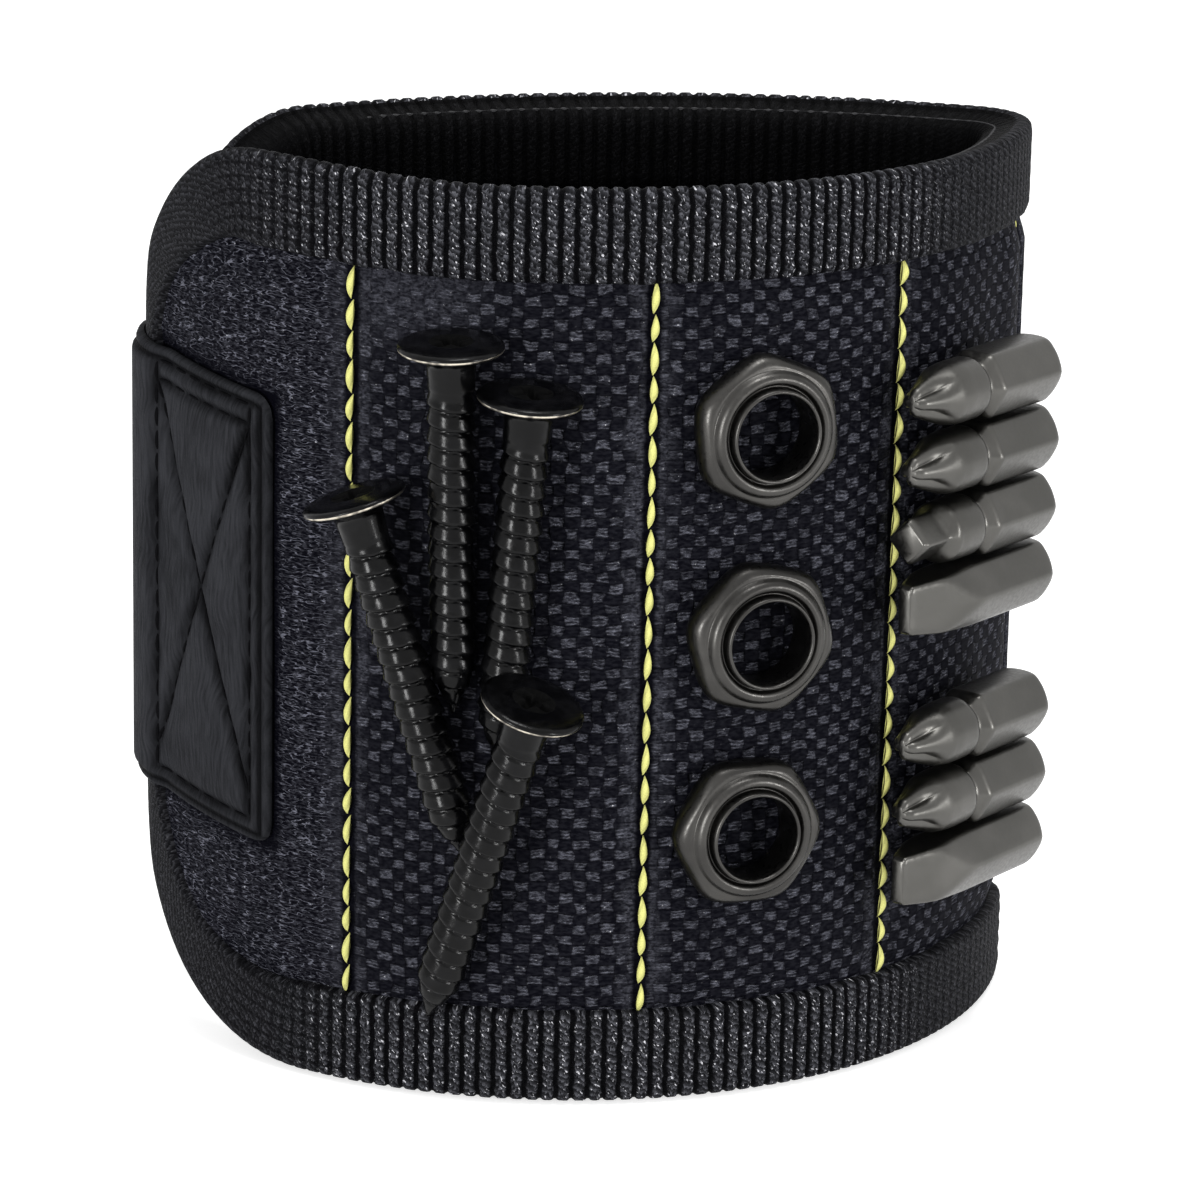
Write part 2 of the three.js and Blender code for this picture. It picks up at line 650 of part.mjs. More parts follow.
// Where each screw's head lies, as shares of the first pocket and of the band's height, how it leans,
// how far its head is raised, in shank diameters, and how far its tip lies off, in shank radii
const screwPlaceShares = [
  { name: "screw_1", across: 0.39, up: 0.846, lean: 0.2, raise: 0, tip: 0.8 },
  { name: "screw_2", across: 0.62, up: 0.796, lean: 4.4, raise: 0, tip: 0.8 },
  { name: "screw_3", across: 0.109, up: 0.676, lean: -15.4, raise: 0.175, tip: 1.3 },
  { name: "screw_4", across: 0.649, up: 0.479, lean: 16.3, raise: 0.87, tip: 0.7 },
];
for (const place of screwPlaceShares) {
  const lean = THREE.MathUtils.degToRad(place.lean);
  const headAlong = betweenLines(0, place.across);
  const headUp = place.up * bandHeight;
  const headOffset = seat + screwHeadDiameter / 2 + place.raise * screwShankDiameter;
  const tipAlong = headAlong - screwLength * Math.sin(lean);
  const tipUp = headUp - screwLength * Math.cos(lean);
  const tipOffset = seat + (screwShankDiameter / 2) * place.tip;
  const head = onWall(headAlong, headOffset, headUp);
  const down = onWall(tipAlong, tipOffset, tipUp).sub(head).normalize();
  const screw = add(place.name, screwGeometry(), blackSteel);
  screw.position.copy(head);
  screw.quaternion.setFromUnitVectors(new THREE.Vector3(0, 0, -1), down);
}

// Corner radius of a hexagon as a share of its size across flats
const cornerShare = 1 / 2 / Math.cos(Math.PI / hexagonSides);

// Nut: a hexagon trimmed by a turned blank with a raised ring, a lip and the bore
function nutGeometry() {
  const corner = nutAcrossFlats * cornerShare;
  const hexagon = new THREE.CylinderGeometry(corner, corner, nutThickness + cutOverrun, hexagonSides);
  hexagon.translate(0, nutThickness / 2, 0);
  const bore = nutBore / 2;
  const round = nutRoundDiameter / 2;
  const ring = nutRingDiameter / 2;
  const lip = nutLipDiameter / 2;
  const blank = new THREE.LatheGeometry([
    [bore, 0], [round - nutStep, 0], [round, nutStep], [round, nutFlangeThickness - nutChamfer],
    [round - nutChamfer, nutFlangeThickness], [ring, nutFlangeThickness],
    [ring - nutStep, nutThickness - nutStep], [lip + nutStep, nutThickness - nutStep],
    [lip, nutFlangeThickness], [lip - nutStep / 2, nutThickness], [bore, nutThickness], [bore, 0],
  ].map(([x, y]) => new THREE.Vector2(x, y)), nutSides);
  return toGeometry(toSolid(blank).intersect(toSolid(hexagon)));
}

// Turns a piece built along +Y to point out of the wall, with its own X along the wall
function standOnWall(piece, along, offset, height, roll = 0) {
  const outward = outwardAt(along);
  const down = new THREE.Vector3(0, 0, -1);
  const across = new THREE.Vector3().crossVectors(outward, down);
  piece.quaternion.setFromRotationMatrix(new THREE.Matrix4().makeBasis(across, outward, down));
  piece.quaternion.multiply(new THREE.Quaternion().setFromAxisAngle(new THREE.Vector3(0, 1, 0), roll));
  piece.position.copy(onWall(along, offset, height));
}

const nutPlaceShares = [
  { name: "nut_upper", across: 0.383, up: 0.741, roll: 0.12 },
  { name: "nut_middle", across: 0.381, up: 0.517, roll: 0.3 },
  { name: "nut_lower", across: 0.351, up: 0.303, roll: 0.5 },
];
for (const place of nutPlaceShares) {
  const along = betweenLines(1, place.across);
  standOnWall(add(place.name, nutGeometry(), gunMetal), along, seat, place.up * bandHeight, place.roll);
}

// Driver bits, built along +X with the tip at -X, two flats level
const bitCorner = bitAcrossFlats * cornerShare;
function hexBar(length) {
  const bar = new THREE.CylinderGeometry(bitCorner, bitCorner, length, hexagonSides);
  return bar.rotateY(Math.PI / hexagonSides).rotateZ(-Math.PI / 2);
}

function turned(outline, sides) {
  const points = outline.map(([radius, place]) => new THREE.Vector2(radius, place));
  return new THREE.LatheGeometry(points, sides).rotateZ(-Math.PI / 2);
}

// The hexagon with its two ends chamfered by a turned blank
function chamferedBar(length) {
  const half = length / 2;
  const blank = turned([
    [0, -half], [bitCorner - bitChamfer, -half], [bitCorner, bitChamfer - half],
    [bitCorner, half - bitChamfer], [bitCorner - bitChamfer, half], [0, half]], roundSides);
  return toGeometry(toSolid(hexBar(length)).intersect(toSolid(blank)));
}

function bitShank() {
  const shank = chamferedBar(bitShankLength).translate((bitLength - bitShankLength) / 2, 0, 0);
  const shankEnd = bitLength / 2 - bitShankLength;
  const neckEnd = shankEnd - bitNeckLength;
  const bodyEnd = neckEnd - bitBodyLength;
  const neck = bitNeckDiameter / 2;
  const body = bitBodyDiameter / 2;
  return { shank, shankEnd, neckEnd, bodyEnd, neck, body };
}

function phillipsBit() {
  const { shank, shankEnd, neckEnd, bodyEnd, neck, body } = bitShank();
  const tip = -bitLength / 2;
  const stem = turned([
    [0, tip], [bitPointDiameter / 2, tip], [body, bodyEnd], [body, neckEnd - bitChamfer],
    [neck, neckEnd], [neck, shankEnd + bitOverlap], [0, shankEnd + bitOverlap]], smallSides * 2);
  const flute = bitBodyDiameter;
  const flutes = [0, 1, 2, 3].map((quarter) => {
    const cut = new THREE.BoxGeometry(2 * bitFluteLength, flute, flute);
    cut.translate(0, flute / 2, flute / 2).rotateZ(bitFluteSlope).rotateY(-bitFluteSlope);
    cut.translate(tip, bitWingThickness / 2, bitWingThickness / 2);
    return cut.rotateX((quarter * Math.PI) / 2);
  });
  return subtractAll(joinAll([stem, shank]), flutes);
}

function squareBit() {
  const { shank, shankEnd, neckEnd, bodyEnd, neck, body } = bitShank();
  const tip = -bitLength / 2;
  const stem = turned([
    [0, bodyEnd - bitChamfer], [body - bitChamfer, bodyEnd - bitChamfer], [body, bodyEnd],
    [body, neckEnd - bitChamfer], [neck, neckEnd], [neck, shankEnd + bitOverlap],
    [0, shankEnd + bitOverlap]], smallSides * 2);
  const length = bodyEnd - tip;
  const square = new THREE.CylinderGeometry(
    bitSquareSide * Math.SQRT1_2, bitSquareSide * Math.SQRT1_2 - bitChamfer / 2, length, smallSides);
  square.rotateY(Math.PI / smallSides).rotateZ(-Math.PI / 2).translate(tip + length / 2, 0, 0);
  return joinAll([stem, shank, square]);
}

// Slotted bit: the bar ground down to a blade, steeply on its two corners and slightly on two flats
function slottedBit() {
  const tip = -bitLength / 2;
  const ground = (from, to) => {
    const cut = new THREE.BoxGeometry(bitLength, bitAcrossFlats, 2 * bitAcrossFlats);
    cut.translate(0, bitAcrossFlats / 2, 0).rotateZ(Math.atan2(to - from, bitBladeLength));
    return cut.translate(tip, from, 0);
  };
  const edge = () => ground(bitBladeThickness / 2, bitCorner);
  const side = () => ground(bitBladeWidth / 2, bitAcrossFlats / 2).rotateX(Math.PI / 2);
  const cuts = [edge(), edge().rotateX(Math.PI), side(), side().rotateX(Math.PI)];
  return subtractAll(chamferedBar(bitLength), cuts);
}

// Two stacks of bits in the fourth pocket, from the top down
const bitPitch = bitAcrossFlats + bitStackGap;
const bitStackShares = [
  { top: 0.76, across: 0.229, kinds: [phillipsBit, phillipsBit, squareBit, slottedBit] },
  { top: 0.38, across: 0.24, kinds: [phillipsBit, phillipsBit, slottedBit] },
];
let bitNumber = 0;
for (const stack of bitStackShares) {
  const along = betweenLines(2, stack.across);
  stack.kinds.forEach((kind, place) => {
    bitNumber += 1;
    const height = stack.top * bandHeight - place * bitPitch;
    standOnWall(add(`bit_${bitNumber}`, kind(), bitSteel), along, seat + bitCorner, height);
  });
}

// Origin: the middle of the whole part's footprint, on the surface that it stands on
const bounds = new THREE.Box3().setFromObject(wristband, true);
const middle = bounds.getCenter(new THREE.Vector3());
wristband.position.set(-middle.x, -middle.y, -bounds.min.z);

export default wristband;
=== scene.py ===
"""Magnetic wristband with its held hardware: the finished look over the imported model.

Places are in millimetres: distance along the wall's outer face from the middle of the front, offset
outwards, and height. on_wall turns them into metres in the row's frame.
"""
import bpy
import bmesh
import json
import math
import random
from mathutils import Matrix, Vector, noise


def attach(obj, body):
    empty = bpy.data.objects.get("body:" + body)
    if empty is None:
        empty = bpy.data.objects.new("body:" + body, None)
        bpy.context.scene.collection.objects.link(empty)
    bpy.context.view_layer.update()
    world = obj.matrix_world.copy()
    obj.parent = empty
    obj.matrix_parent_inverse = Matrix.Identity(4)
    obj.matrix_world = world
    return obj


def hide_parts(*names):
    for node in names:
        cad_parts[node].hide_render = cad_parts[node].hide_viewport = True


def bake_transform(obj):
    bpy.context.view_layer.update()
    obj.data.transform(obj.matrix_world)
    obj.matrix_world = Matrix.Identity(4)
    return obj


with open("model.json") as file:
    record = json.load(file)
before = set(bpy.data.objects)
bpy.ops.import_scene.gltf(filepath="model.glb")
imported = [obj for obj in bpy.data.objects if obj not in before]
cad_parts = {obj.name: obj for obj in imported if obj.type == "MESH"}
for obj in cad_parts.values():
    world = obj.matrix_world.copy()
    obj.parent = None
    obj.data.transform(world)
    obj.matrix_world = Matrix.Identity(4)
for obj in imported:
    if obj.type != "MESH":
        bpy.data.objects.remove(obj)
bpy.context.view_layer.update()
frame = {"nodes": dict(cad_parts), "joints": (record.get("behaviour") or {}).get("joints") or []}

MM = 0.001
TAU = 2 * math.pi

# Plan of the closed loop
LOOP_HALF_LENGTH = 43.3
FRONT_DEPTH = 32.9
BACK_DEPTH = 16.3
TIP_RADIUS = 7.0

# Panel and its binding
BAND_HEIGHT = 88.0
END_BEYOND_FRONT = 3.76
END_GAP = 6.88
TOP_CORNER = 20.0
FAR_TOP_CORNER = 13.0
BOTTOM_CORNER = 26.0
RIM_RISE = 0.95
BINDING_WIDTH = 8.8
END_BINDING_WIDTH = 4.0
FOLD_THICKNESS = 1.9
RIB_PITCH_WANTED = 1.5
RIB_HEIGHT = 0.34

# Pockets, and where the panel is split and bends
STITCHES = (-29.3, -0.1, 27.0, 54.1, 81.2)
SPLIT = STITCHES[2]
HINGE = -30.5
BEND_REACH = 1.6

# Wall of the cloth: how deep it is drawn in at the stitches, and how far the pockets stand out
CLOTH_LOW = -1.3
POCKET_PUFF = 0.65
PUFF_REACH = 2.4
TIP_PUFF = 1.05
TIP_PUFF_REACH = 0.5
PUCKER_DEPTH = 0.07
PUCKER_PITCH = 2.9
PUCKER_REACH = 1.8
WANDER = 0.16
CLOTH_INSET = 2.4
LINING_INSET = 3.6
LINING_OFFSET = -4.9
PANEL_ROWS = 88


def lerp(first, last, share):
    return first + (last - first) * share


def smooth(value, low, high):
    """0 below low, 1 above high, with a soft turn between."""
    share = min(max((value - low) / (high - low), 0.0), 1.0)
    return share * share * (3 - 2 * share)


def bell(distance, reach):
    """1 at no distance, falling away over the reach."""
    return math.exp(-((distance / reach) ** 2))


def spread(first, last, step):
    """Evenly spaced values from first to last, no further apart than step."""
    count = max(1, math.ceil(abs(last - first) / step))
    return [lerp(first, last, place / count) for place in range(count + 1)]


def turns(sides):
    """Angles round a circle."""
    return [TAU * side / sides for side in range(sides)]


def rough(*place):
    """Smooth noise between about -1 and 1 at a place."""
    return noise.noise(Vector(place))


def side_radius(depth):
    centre = LOOP_HALF_LENGTH - TIP_RADIUS
    return (centre ** 2 + depth ** 2 - TIP_RADIUS ** 2) / (2 * (depth - TIP_RADIUS))


def loop_arcs():
    """The loop's arcs as (centre x, centre y, radius, start along, start angle), and its length."""
    centre = LOOP_HALF_LENGTH - TIP_RADIUS
    front = side_radius(FRONT_DEPTH)
    back = side_radius(BACK_DEPTH)
    front_angle = math.atan2(centre, front - FRONT_DEPTH)
    back_angle = math.atan2(centre, back - BACK_DEPTH)
    tip_angle = math.pi - front_angle - back_angle
    plan = [
        (0, front - FRONT_DEPTH, front, front_angle),
        (centre, 0, TIP_RADIUS, tip_angle),
        (0, BACK_DEPTH - back, back, 2 * back_angle),
        (-centre, 0, TIP_RADIUS, tip_angle),
        (0, front - FRONT_DEPTH, front, front_angle),
    ]
    arcs = []
    along = 0.0
    angle = -math.pi / 2
    for x, y, radius, sweep in plan:
        arcs.append((x, y, radius, along, angle))
        along += radius * sweep
        angle += sweep
    return arcs, along


ARCS, PERIMETER = loop_arcs()
NEAR_END = ARCS[-1][3] - PERIMETER - END_BEYOND_FRONT
FAR_END = NEAR_END + PERIMETER - END_GAP


def wall_frame(along):
    """Arc centre, radius and outward angle of the wall at a distance along it."""
    wrapped = along % PERIMETER
    x, y, radius, start, angle = [arc for arc in ARCS if arc[3] <= wrapped][-1]
    return x, y, radius, angle + (wrapped - start) / radius


def plan_point(along, offset):
    x, y, radius, angle = wall_frame(along)
    reach = radius + offset
    return Vector((x + reach * math.cos(angle), y + reach * math.sin(angle), 0))


# The row's origin lies under the middle of the part: the hinge of the near end shows how far away
HINGE_PLACE = next(joint["pos_m"] for joint in frame["joints"] if joint["name"] == "near_end_hinge")
SHIFT = Vector((HINGE_PLACE[0] / MM, HINGE_PLACE[1] / MM, 0)) - plan_point(HINGE, 0)


def on_wall(along, offset, height):
    return (plan_point(along, offset) + SHIFT + Vector((0, 0, height))) * MM


# Outline of the panel, which its binding follows


def straight(start, end, inward, end_share):
    """A straight run of the outline as its length and a function that gives the place at a share of it."""
    def place(share):
        return lerp(start[0], end[0], share), lerp(start[1], end[1], share), inward, end_share
    return math.dist(start, end), place


def corner(centre, radius, turn, into_end):
    """A quarter of a circle of the outline, into or out of one of the panel's ends."""
    def place(share):
        angle = turn + share * math.pi / 2
        out = (math.cos(angle), math.sin(angle))
        end_share = share if into_end else 1 - share
        return centre[0] + radius * out[0], centre[1] + radius * out[1], (-out[0], -out[1]), end_share
    return radius * math.pi / 2, place


def outline_parts():
    """The panel's outline, from the split on the top edge round the near end, the bottom and the far end."""
    left, right, high = NEAR_END, FAR_END, BAND_HEIGHT
    top, far_top, low = TOP_CORNER, FAR_TOP_CORNER, BOTTOM_CORNER
    return [
        straight((SPLIT, high), (left + top, high), (0.0, -1.0), 0.0),
        corner((left + top, high - top), top, math.pi / 2, True),
        straight((left, high - top), (left, low), (1.0, 0.0), 1.0),
        corner((left + low, low), low, math.pi, False),
        straight((left + low, 0.0), (SPLIT, 0.0), (0.0, 1.0), 0.0),
        straight((SPLIT, 0.0), (right - low, 0.0), (0.0, 1.0), 0.0),
        corner((right - low, low), low, -math.pi / 2, True),
        straight((right, low), (right, high - far_top), (-1.0, 0.0), 1.0),
        corner((right - far_top, high - far_top), far_top, 0.0, False),
        straight((right - far_top, high), (SPLIT, high), (0.0, -1.0), 0.0),
    ]


OUTLINE = outline_parts()
FRONT_PARTS = 5
OUTLINE_LENGTH = sum(length for length, _ in OUTLINE)
FRONT_TAPE = sum(length for length, _ in OUTLINE[:FRONT_PARTS])
RIB_COUNT = round(OUTLINE_LENGTH / RIB_PITCH_WANTED)
RIB_PITCH = OUTLINE_LENGTH / RIB_COUNT


# Materials: a small writer for node graphs


def operator(operation):
    """A method of Value that adds a Math node."""
    def method(self, other=0.0):
        return self.graph.math(operation, self, other)
    return method


class Value:
    """A result in a node graph. Arithmetic with it adds Math nodes."""

    def __init__(self, graph, socket):
        self.graph = graph
        self.socket = socket

    def __rsub__(self, other):
        return self.graph.math("SUBTRACT", other, self)

    __add__ = operator("ADD")
    __sub__ = operator("SUBTRACT")
    __mul__ = operator("MULTIPLY")
    __truediv__ = operator("DIVIDE")
    __pow__ = operator("POWER")
    __abs__ = operator("ABSOLUTE")
    maximum = operator("MAXIMUM")
    minimum = operator("MINIMUM")
    sine = operator("SINE")
    floor = operator("FLOOR")
    fract = operator("FRACT")


class Graph:
    """Writes nodes into a node tree."""

    def __init__(self, tree):
        self.tree = tree

    def feed(self, socket, value):
        if isinstance(value, Value):
            self.tree.links.new(value.socket, socket)
        else:
            socket.default_value = value

    def add(self, kind, output, inputs=None, **settings):
        """Adds a node, sets it up, feeds its inputs and returns one of its results."""
        made = self.tree.nodes.new("ShaderNode" + kind)
        for setting, value in settings.items():
            setattr(made, setting, value)
        for socket, value in (inputs or {}).items():
            self.feed(made.inputs[socket], value)
        return Value(self, made.outputs[output])

    def math(self, operation, first, second=0.0):
        return self.add("Math", 0, {0: first, 1: second}, operation=operation)

    def vector(self, x, y):
        return self.add("CombineXYZ", 0, {0: x, 1: y})

    def surface(self, layer="surface"):
        """Along and up on the wall, in millimetres, or the two values of another layer."""
        place = self.add("UVMap", 0, uv_map=layer)
        return [self.add("SeparateXYZ", part, {0: place}) for part in (0, 1)]

    def solid(self):
        """Place in the object, in millimetres."""
        place = self.add("TexCoord", "Object")
        return self.add("VectorMath", 0, {0: place, "Scale": 1 / MM}, operation="SCALE")

    def noise(self, place, scale, detail, stretch=None):
        if stretch:
            place = self.add("VectorMath", 0, {0: place, 1: stretch}, operation="MULTIPLY")
        return self.add("TexNoise", "Fac", {"Vector": place, "Scale": scale, "Detail": detail})

    def remap(self, value, low, high, out_low=0.0, out_high=1.0, soft=True):
        return self.add("MapRange", "Result", {
            "Value": value, "From Min": low, "From Max": high, "To Min": out_low, "To Max": out_high,
        }, interpolation_type="SMOOTHSTEP" if soft else "LINEAR")

    def blend(self, share, first, last):
        """A number between two numbers."""
        return self.add("Mix", 0, {0: share, 2: first, 3: last}, data_type="FLOAT")

    def colours(self, share, first, last):
        """A colour between two colours."""
        first, last = (value if isinstance(value, Value) else (*value, 1) for value in (first, last))
        return self.add("Mix", 2, {0: share, 6: first, 7: last}, data_type="RGBA")


class Finish(Graph):
    """A Principled material with helpers that drive its sockets."""

    def __init__(self, name, colour, roughness, specular=0.5, metallic=0.0):
        self.material = bpy.data.materials.new(name)
        self.material.use_nodes = True
        super().__init__(self.material.node_tree)
        self.shader = self.tree.nodes["Principled BSDF"]
        self.set("Base Color", (*colour, 1))
        self.set("Roughness", roughness)
        self.set("Specular IOR Level", specular)
        self.set("Metallic", metallic)

    def set(self, socket, value):
        self.feed(self.shader.inputs[socket], value)

    def colour(self, share, first, last):
        self.set("Base Color", self.colours(share, first, last))

    def roughness(self, pattern, low, high):
        """Roughness from low to high over the middle of a noise pattern."""
        self.set("Roughness", self.remap(pattern, 0.3, 0.7, low, high))

    def bump(self, height, depth):
        """Relief of the given depth in millimetres."""
        self.set("Normal", self.add("Bump", 0, {"Strength": 1.0, "Distance": depth * MM, "Height": height}))


def cell_dome(share):
    """1 in the middle of a cell and 0 at its two sides."""
    return 1.0 - abs(share * 2.0 - 1.0) ** 4.0


def basket_weave(finish, along, up, cell_width, cell_height, fibres):
    """Checker of raised cross threads and sunk long threads, as (height, lightness). The lightness is painted
    light and shade: raised cells lit and brightest in their middle, darker between their fibres, and sunk cells
    near black in shade.
    """
    place = finish.vector(along, up)
    sway = (finish.noise(place, 0.5, 1.0) - 0.5) * 1.3
    lift = finish.noise(place, 0.37, 1.0) - 0.5
    across = (along + sway) / cell_width
    rise = (up + lift) / cell_height
    column, row = across.floor(), rise.floor()
    raised = ((column + row) * 0.5).fract() * 2.0
    chance = finish.add("TexWhiteNoise", "Value", {"Vector": finish.vector(column, row)}, noise_dimensions="2D")
    dome = cell_dome(across.fract()) * cell_dome(rise.fract())
    ripple = finish.noise(place, 2.6, 2.0) * 8.0
    lying = (rise.fract() * (TAU * fibres) + ripple).sine()
    strand = finish.remap(lying, -0.9, 0.9, 0.3, 1.0)
    break_up = finish.remap(finish.noise(place, 2.6, 3.0, (0.6, 1.4, 1)), 0.36, 0.66, 0.12, 1.5)
    thread = strand * break_up * dome
    uneven = finish.remap(chance, 0, 1, 0.6, 1.35, soft=False)
    return raised * (dome + thread), finish.blend(raised, break_up * 0.03, thread * uneven)


def nearest_line(along):
    """Distance to the nearest line of stitches."""
    nearest = abs(along - STITCHES[0])
    for line in STITCHES[1:]:
        nearest = nearest.minimum(abs(along - line))
    return nearest


def hairs(finish, place, scale, detail, stretch, width):
    """Thin lines where a noise passes its middle, and that noise."""
    ground = finish.noise(place, scale, detail, stretch)
    return finish.remap(abs(ground - 0.5), 0.004, width, 1.0, 0.0), ground


def nylon_cloth():
    """Coarse basket weave, fuzzy beside the stitches, hairy at the near end, with painted glints and painted
    shade beside the stitches and the patch.
    """
    finish = Finish("coarse_nylon", (0.02, 0.02, 0.026), 0.65, specular=0.02)
    along, up = finish.surface()
    shade, _ = finish.surface("extra")
    place = finish.vector(along, up)
    height, lightness = basket_weave(finish, along, up, 1.36, 1.04, 3.0)
    distance = nearest_line(along)
    ragged = distance + finish.noise(place, 0.3, 3.0) * 6.0
    beside_seam = finish.remap(ragged, 3.2, 5.6, 0.95, 0.0)
    under_top = finish.remap(along, -14.0, -20.0) * finish.remap(up, 70.0, 77.0, 0.0, 0.55)
    wool = finish.noise(place, 2.6, 5.0, (0.8, 1.4, 1))
    hair, weft = hairs(finish, place, 0.9, 2.0, (0.8, 1.7, 1), 0.022)
    hair *= finish.remap(finish.noise(place, 1.4, 1.0), 0.46, 0.6)
    fibre = finish.remap(wool, 0.36, 0.68, 0.04, 0.34) + hair * 0.25
    flakes = finish.remap(finish.noise(place, 2.9, 3.0, (0.6, 1.6, 1)), 0.42, 0.74, 0.0, 0.2)
    long_hair, _ = hairs(finish, place, 1.25, 1.5, (0.5, 1.7, 1), 0.03)
    long_hair *= finish.remap(finish.noise(place, 1.1, 2.0), 0.4, 0.62, 0.1, 0.8)
    near_end = finish.remap(along, -33.0, -27.0, 1.0, 0.0)
    fibre = finish.blend(near_end, fibre, flakes + long_hair)
    fuzz = beside_seam.maximum(under_top).maximum(near_end)
    # Painted shade: the cloth darkens to near black within a millimetre of each line of stitches, and takes the
    # extra layer's value as a painted contact shadow beside the patch's edge.
    light = finish.blend(fuzz, lightness, fibre) * finish.remap(distance, 0.5, 1.0, 0.05, 1.0) * (1.0 - shade)
    weave = finish.colours(light, (0.0015, 0.0015, 0.0034), (0.165, 0.169, 0.208))
    # Painted glints: small spots where the weave's colour is pushed towards near white.
    painted_glint = finish.remap(finish.noise(place, 3.4, 1.0), 0.7, 0.76, 0.0, 0.8)
    finish.colour(painted_glint * light, weave, (0.9, 0.9, 0.95))
    finish.bump(finish.blend(fuzz, height, (wool + weft) * 0.8), 0.35)
    return finish.material


def wave(value, pitch):
    """Rounded humps of a pitch along a value, dark lines between them."""
    return abs((value * (math.pi / pitch)).sine())


def ribbed_tape(name, ridge, groove_shade, sparkle):
    """Grosgrain: ribs like twisted cords across the tape, with painted shade between them and painted glints on
    their fibres.
    """
    finish = Finish(name, ridge, 0.6, specular=0.03)
    along, depth = finish.surface()
    ribbed, crossed = finish.surface("extra")
    # Painted shade: the colour runs from the ridge colour on the crests of the ribs to near black between them.
    crest = finish.blend(ribbed, 0.36, finish.remap(wave(along, RIB_PITCH), 0.36, 0.8))
    crest *= finish.blend(crossed, 1.0, finish.remap(wave(depth, 1.25), 0.2, 0.6, 0.3, 1.0))
    yarn = finish.noise(finish.vector(along, depth), 2.2, 4.0, (1.5, 0.9, 1.0))
    strands = finish.remap((along * 5.0 + depth * 10.0 + yarn * 16.0).sine(), -0.8, 1, 0.18, 1.0)
    light = crest * (strands * finish.remap(yarn, 0.35, 0.68, 0.2, 1.1))
    # Painted glints: near-white spots on the crests of the ribs.
    spark = finish.noise(finish.vector(along + depth * 0.5, depth), 3.0, 1.0, (1.3, 0.8, 1.0))
    painted_glint = finish.remap(spark, 0.64, 0.72, 0.0, sparkle) * crest * finish.remap(ribbed, 0.15, 0.6, 0.12, 1.0)
    finish.colour(painted_glint, finish.colours(light, groove_shade, ridge), (0.85, 0.85, 0.9))
    finish.bump(strands * 0.6 + yarn, 0.16)
    return finish.material


# The mesh pattern is the lining's own; its near black colour is painted shade inside the loop.
def mesh_lining():
    finish = Finish("mesh_lining", (0.004, 0.004, 0.005), 0.9, specular=0.0)
    along, up = finish.surface()
    light = wave(along, 2.2) * finish.remap(wave(up, 0.9), 0, 1, 0.6, 1.0)
    finish.colour(light, (0.0022, 0.0022, 0.0028), (0.0062, 0.0064, 0.0075))
    finish.bump(light, 0.15)
    return finish.material


def smooth_leather():
    """Artificial leather with a fine upright grain, and painted shade in its creases."""
    finish = Finish("smooth_leather", (0.022, 0.023, 0.025), 0.5, specular=0.012)
    along, up = finish.surface()
    crease_shade, _ = finish.surface("extra")
    place = finish.vector(along, up)
    bent = finish.vector(along + finish.noise(place, 0.15, 1.0) * 3.0, up)
    grain = finish.noise(bent, 1.5, 4.0, (2.4, 0.22, 1))
    pebble = finish.noise(place, 3.5, 3.0)
    cloud = finish.noise(place, 0.12, 2.0)
    light = finish.remap(grain * 0.8 + cloud * 0.45, 0.4, 0.82) * (1.0 - crease_shade)
    dark = finish.colours(crease_shade, (0.015, 0.0156, 0.0178), (0.0014, 0.0014, 0.0017))
    finish.colour(light, dark, (0.034, 0.035, 0.04))
    finish.roughness(pebble, 0.62, 0.48)
    finish.bump(grain * 1.3 + pebble, 0.1)
    return finish.material


def strap_webbing():
    finish = Finish("strap_webbing", (0.012, 0.012, 0.015), 0.6, specular=0.05)
    along, up = finish.surface()
    height, lightness = basket_weave(finish, along, up, 0.8, 0.8, 2.0)
    # The weave's lightness is painted light and shade: raised cells lit, sunk cells in shade.
    finish.colour(lightness, (0.0045, 0.0045, 0.006), (0.04, 0.041, 0.05))
    finish.bump(height, 0.22)
    return finish.material


def yellow_thread():
    """Thick twisted thread with painted shade: dark at its sides, where it turns under, and where the strands
    meet.
    """
    finish = Finish("yellow_thread", (0.74, 0.72, 0.23), 0.55, specular=0.2)
    turn, up = finish.surface()
    strands = finish.remap((turn * 2.0 + up * 3.0).sine(), -1, 1, soft=False)
    hair = finish.noise(finish.solid(), 9.0, 2.0)
    shade = finish.remap(strands, 0.0, 0.3, 0.8, 1.0) * finish.remap(hair, 0.3, 0.7, 0.85, 1.03)
    shade *= finish.remap(abs(turn.sine()), 0.08, 0.42, 0.0, 1.0)
    finish.colour(shade, (0.03, 0.028, 0.004), (0.79, 0.78, 0.26))
    finish.bump(strands, 0.06)
    return finish.material


def black_steel():
    """Glossy black finish with faint cloudy wear."""
    finish = Finish("black_steel", (0.006, 0.006, 0.007), 0.22, specular=0.16)
    place = finish.solid()
    cloud = finish.noise(place, 0.5, 4.0)
    scuff = finish.noise(place, 2.2, 3.0)
    finish.colour(finish.remap(cloud, 0.4, 0.7), (0.0008, 0.0008, 0.001), (0.004, 0.004, 0.0045))
    finish.roughness(scuff, 0.17, 0.27)
    finish.bump(scuff + cloud * 3.0, 0.018)
    return finish.material


def satin_metal(name, dark, light, roughness):
    finish = Finish(name, light, roughness, metallic=1.0)
    place = finish.solid()
    cloud = finish.noise(place, 0.16, 3.0)
    brush = finish.noise(place, 3.0, 3.0)
    finish.colour(finish.remap(cloud, 0.35, 0.7), dark, light)
    finish.roughness(brush, roughness - 0.05, roughness + 0.08)
    finish.bump(brush, 0.004)
    return finish.material


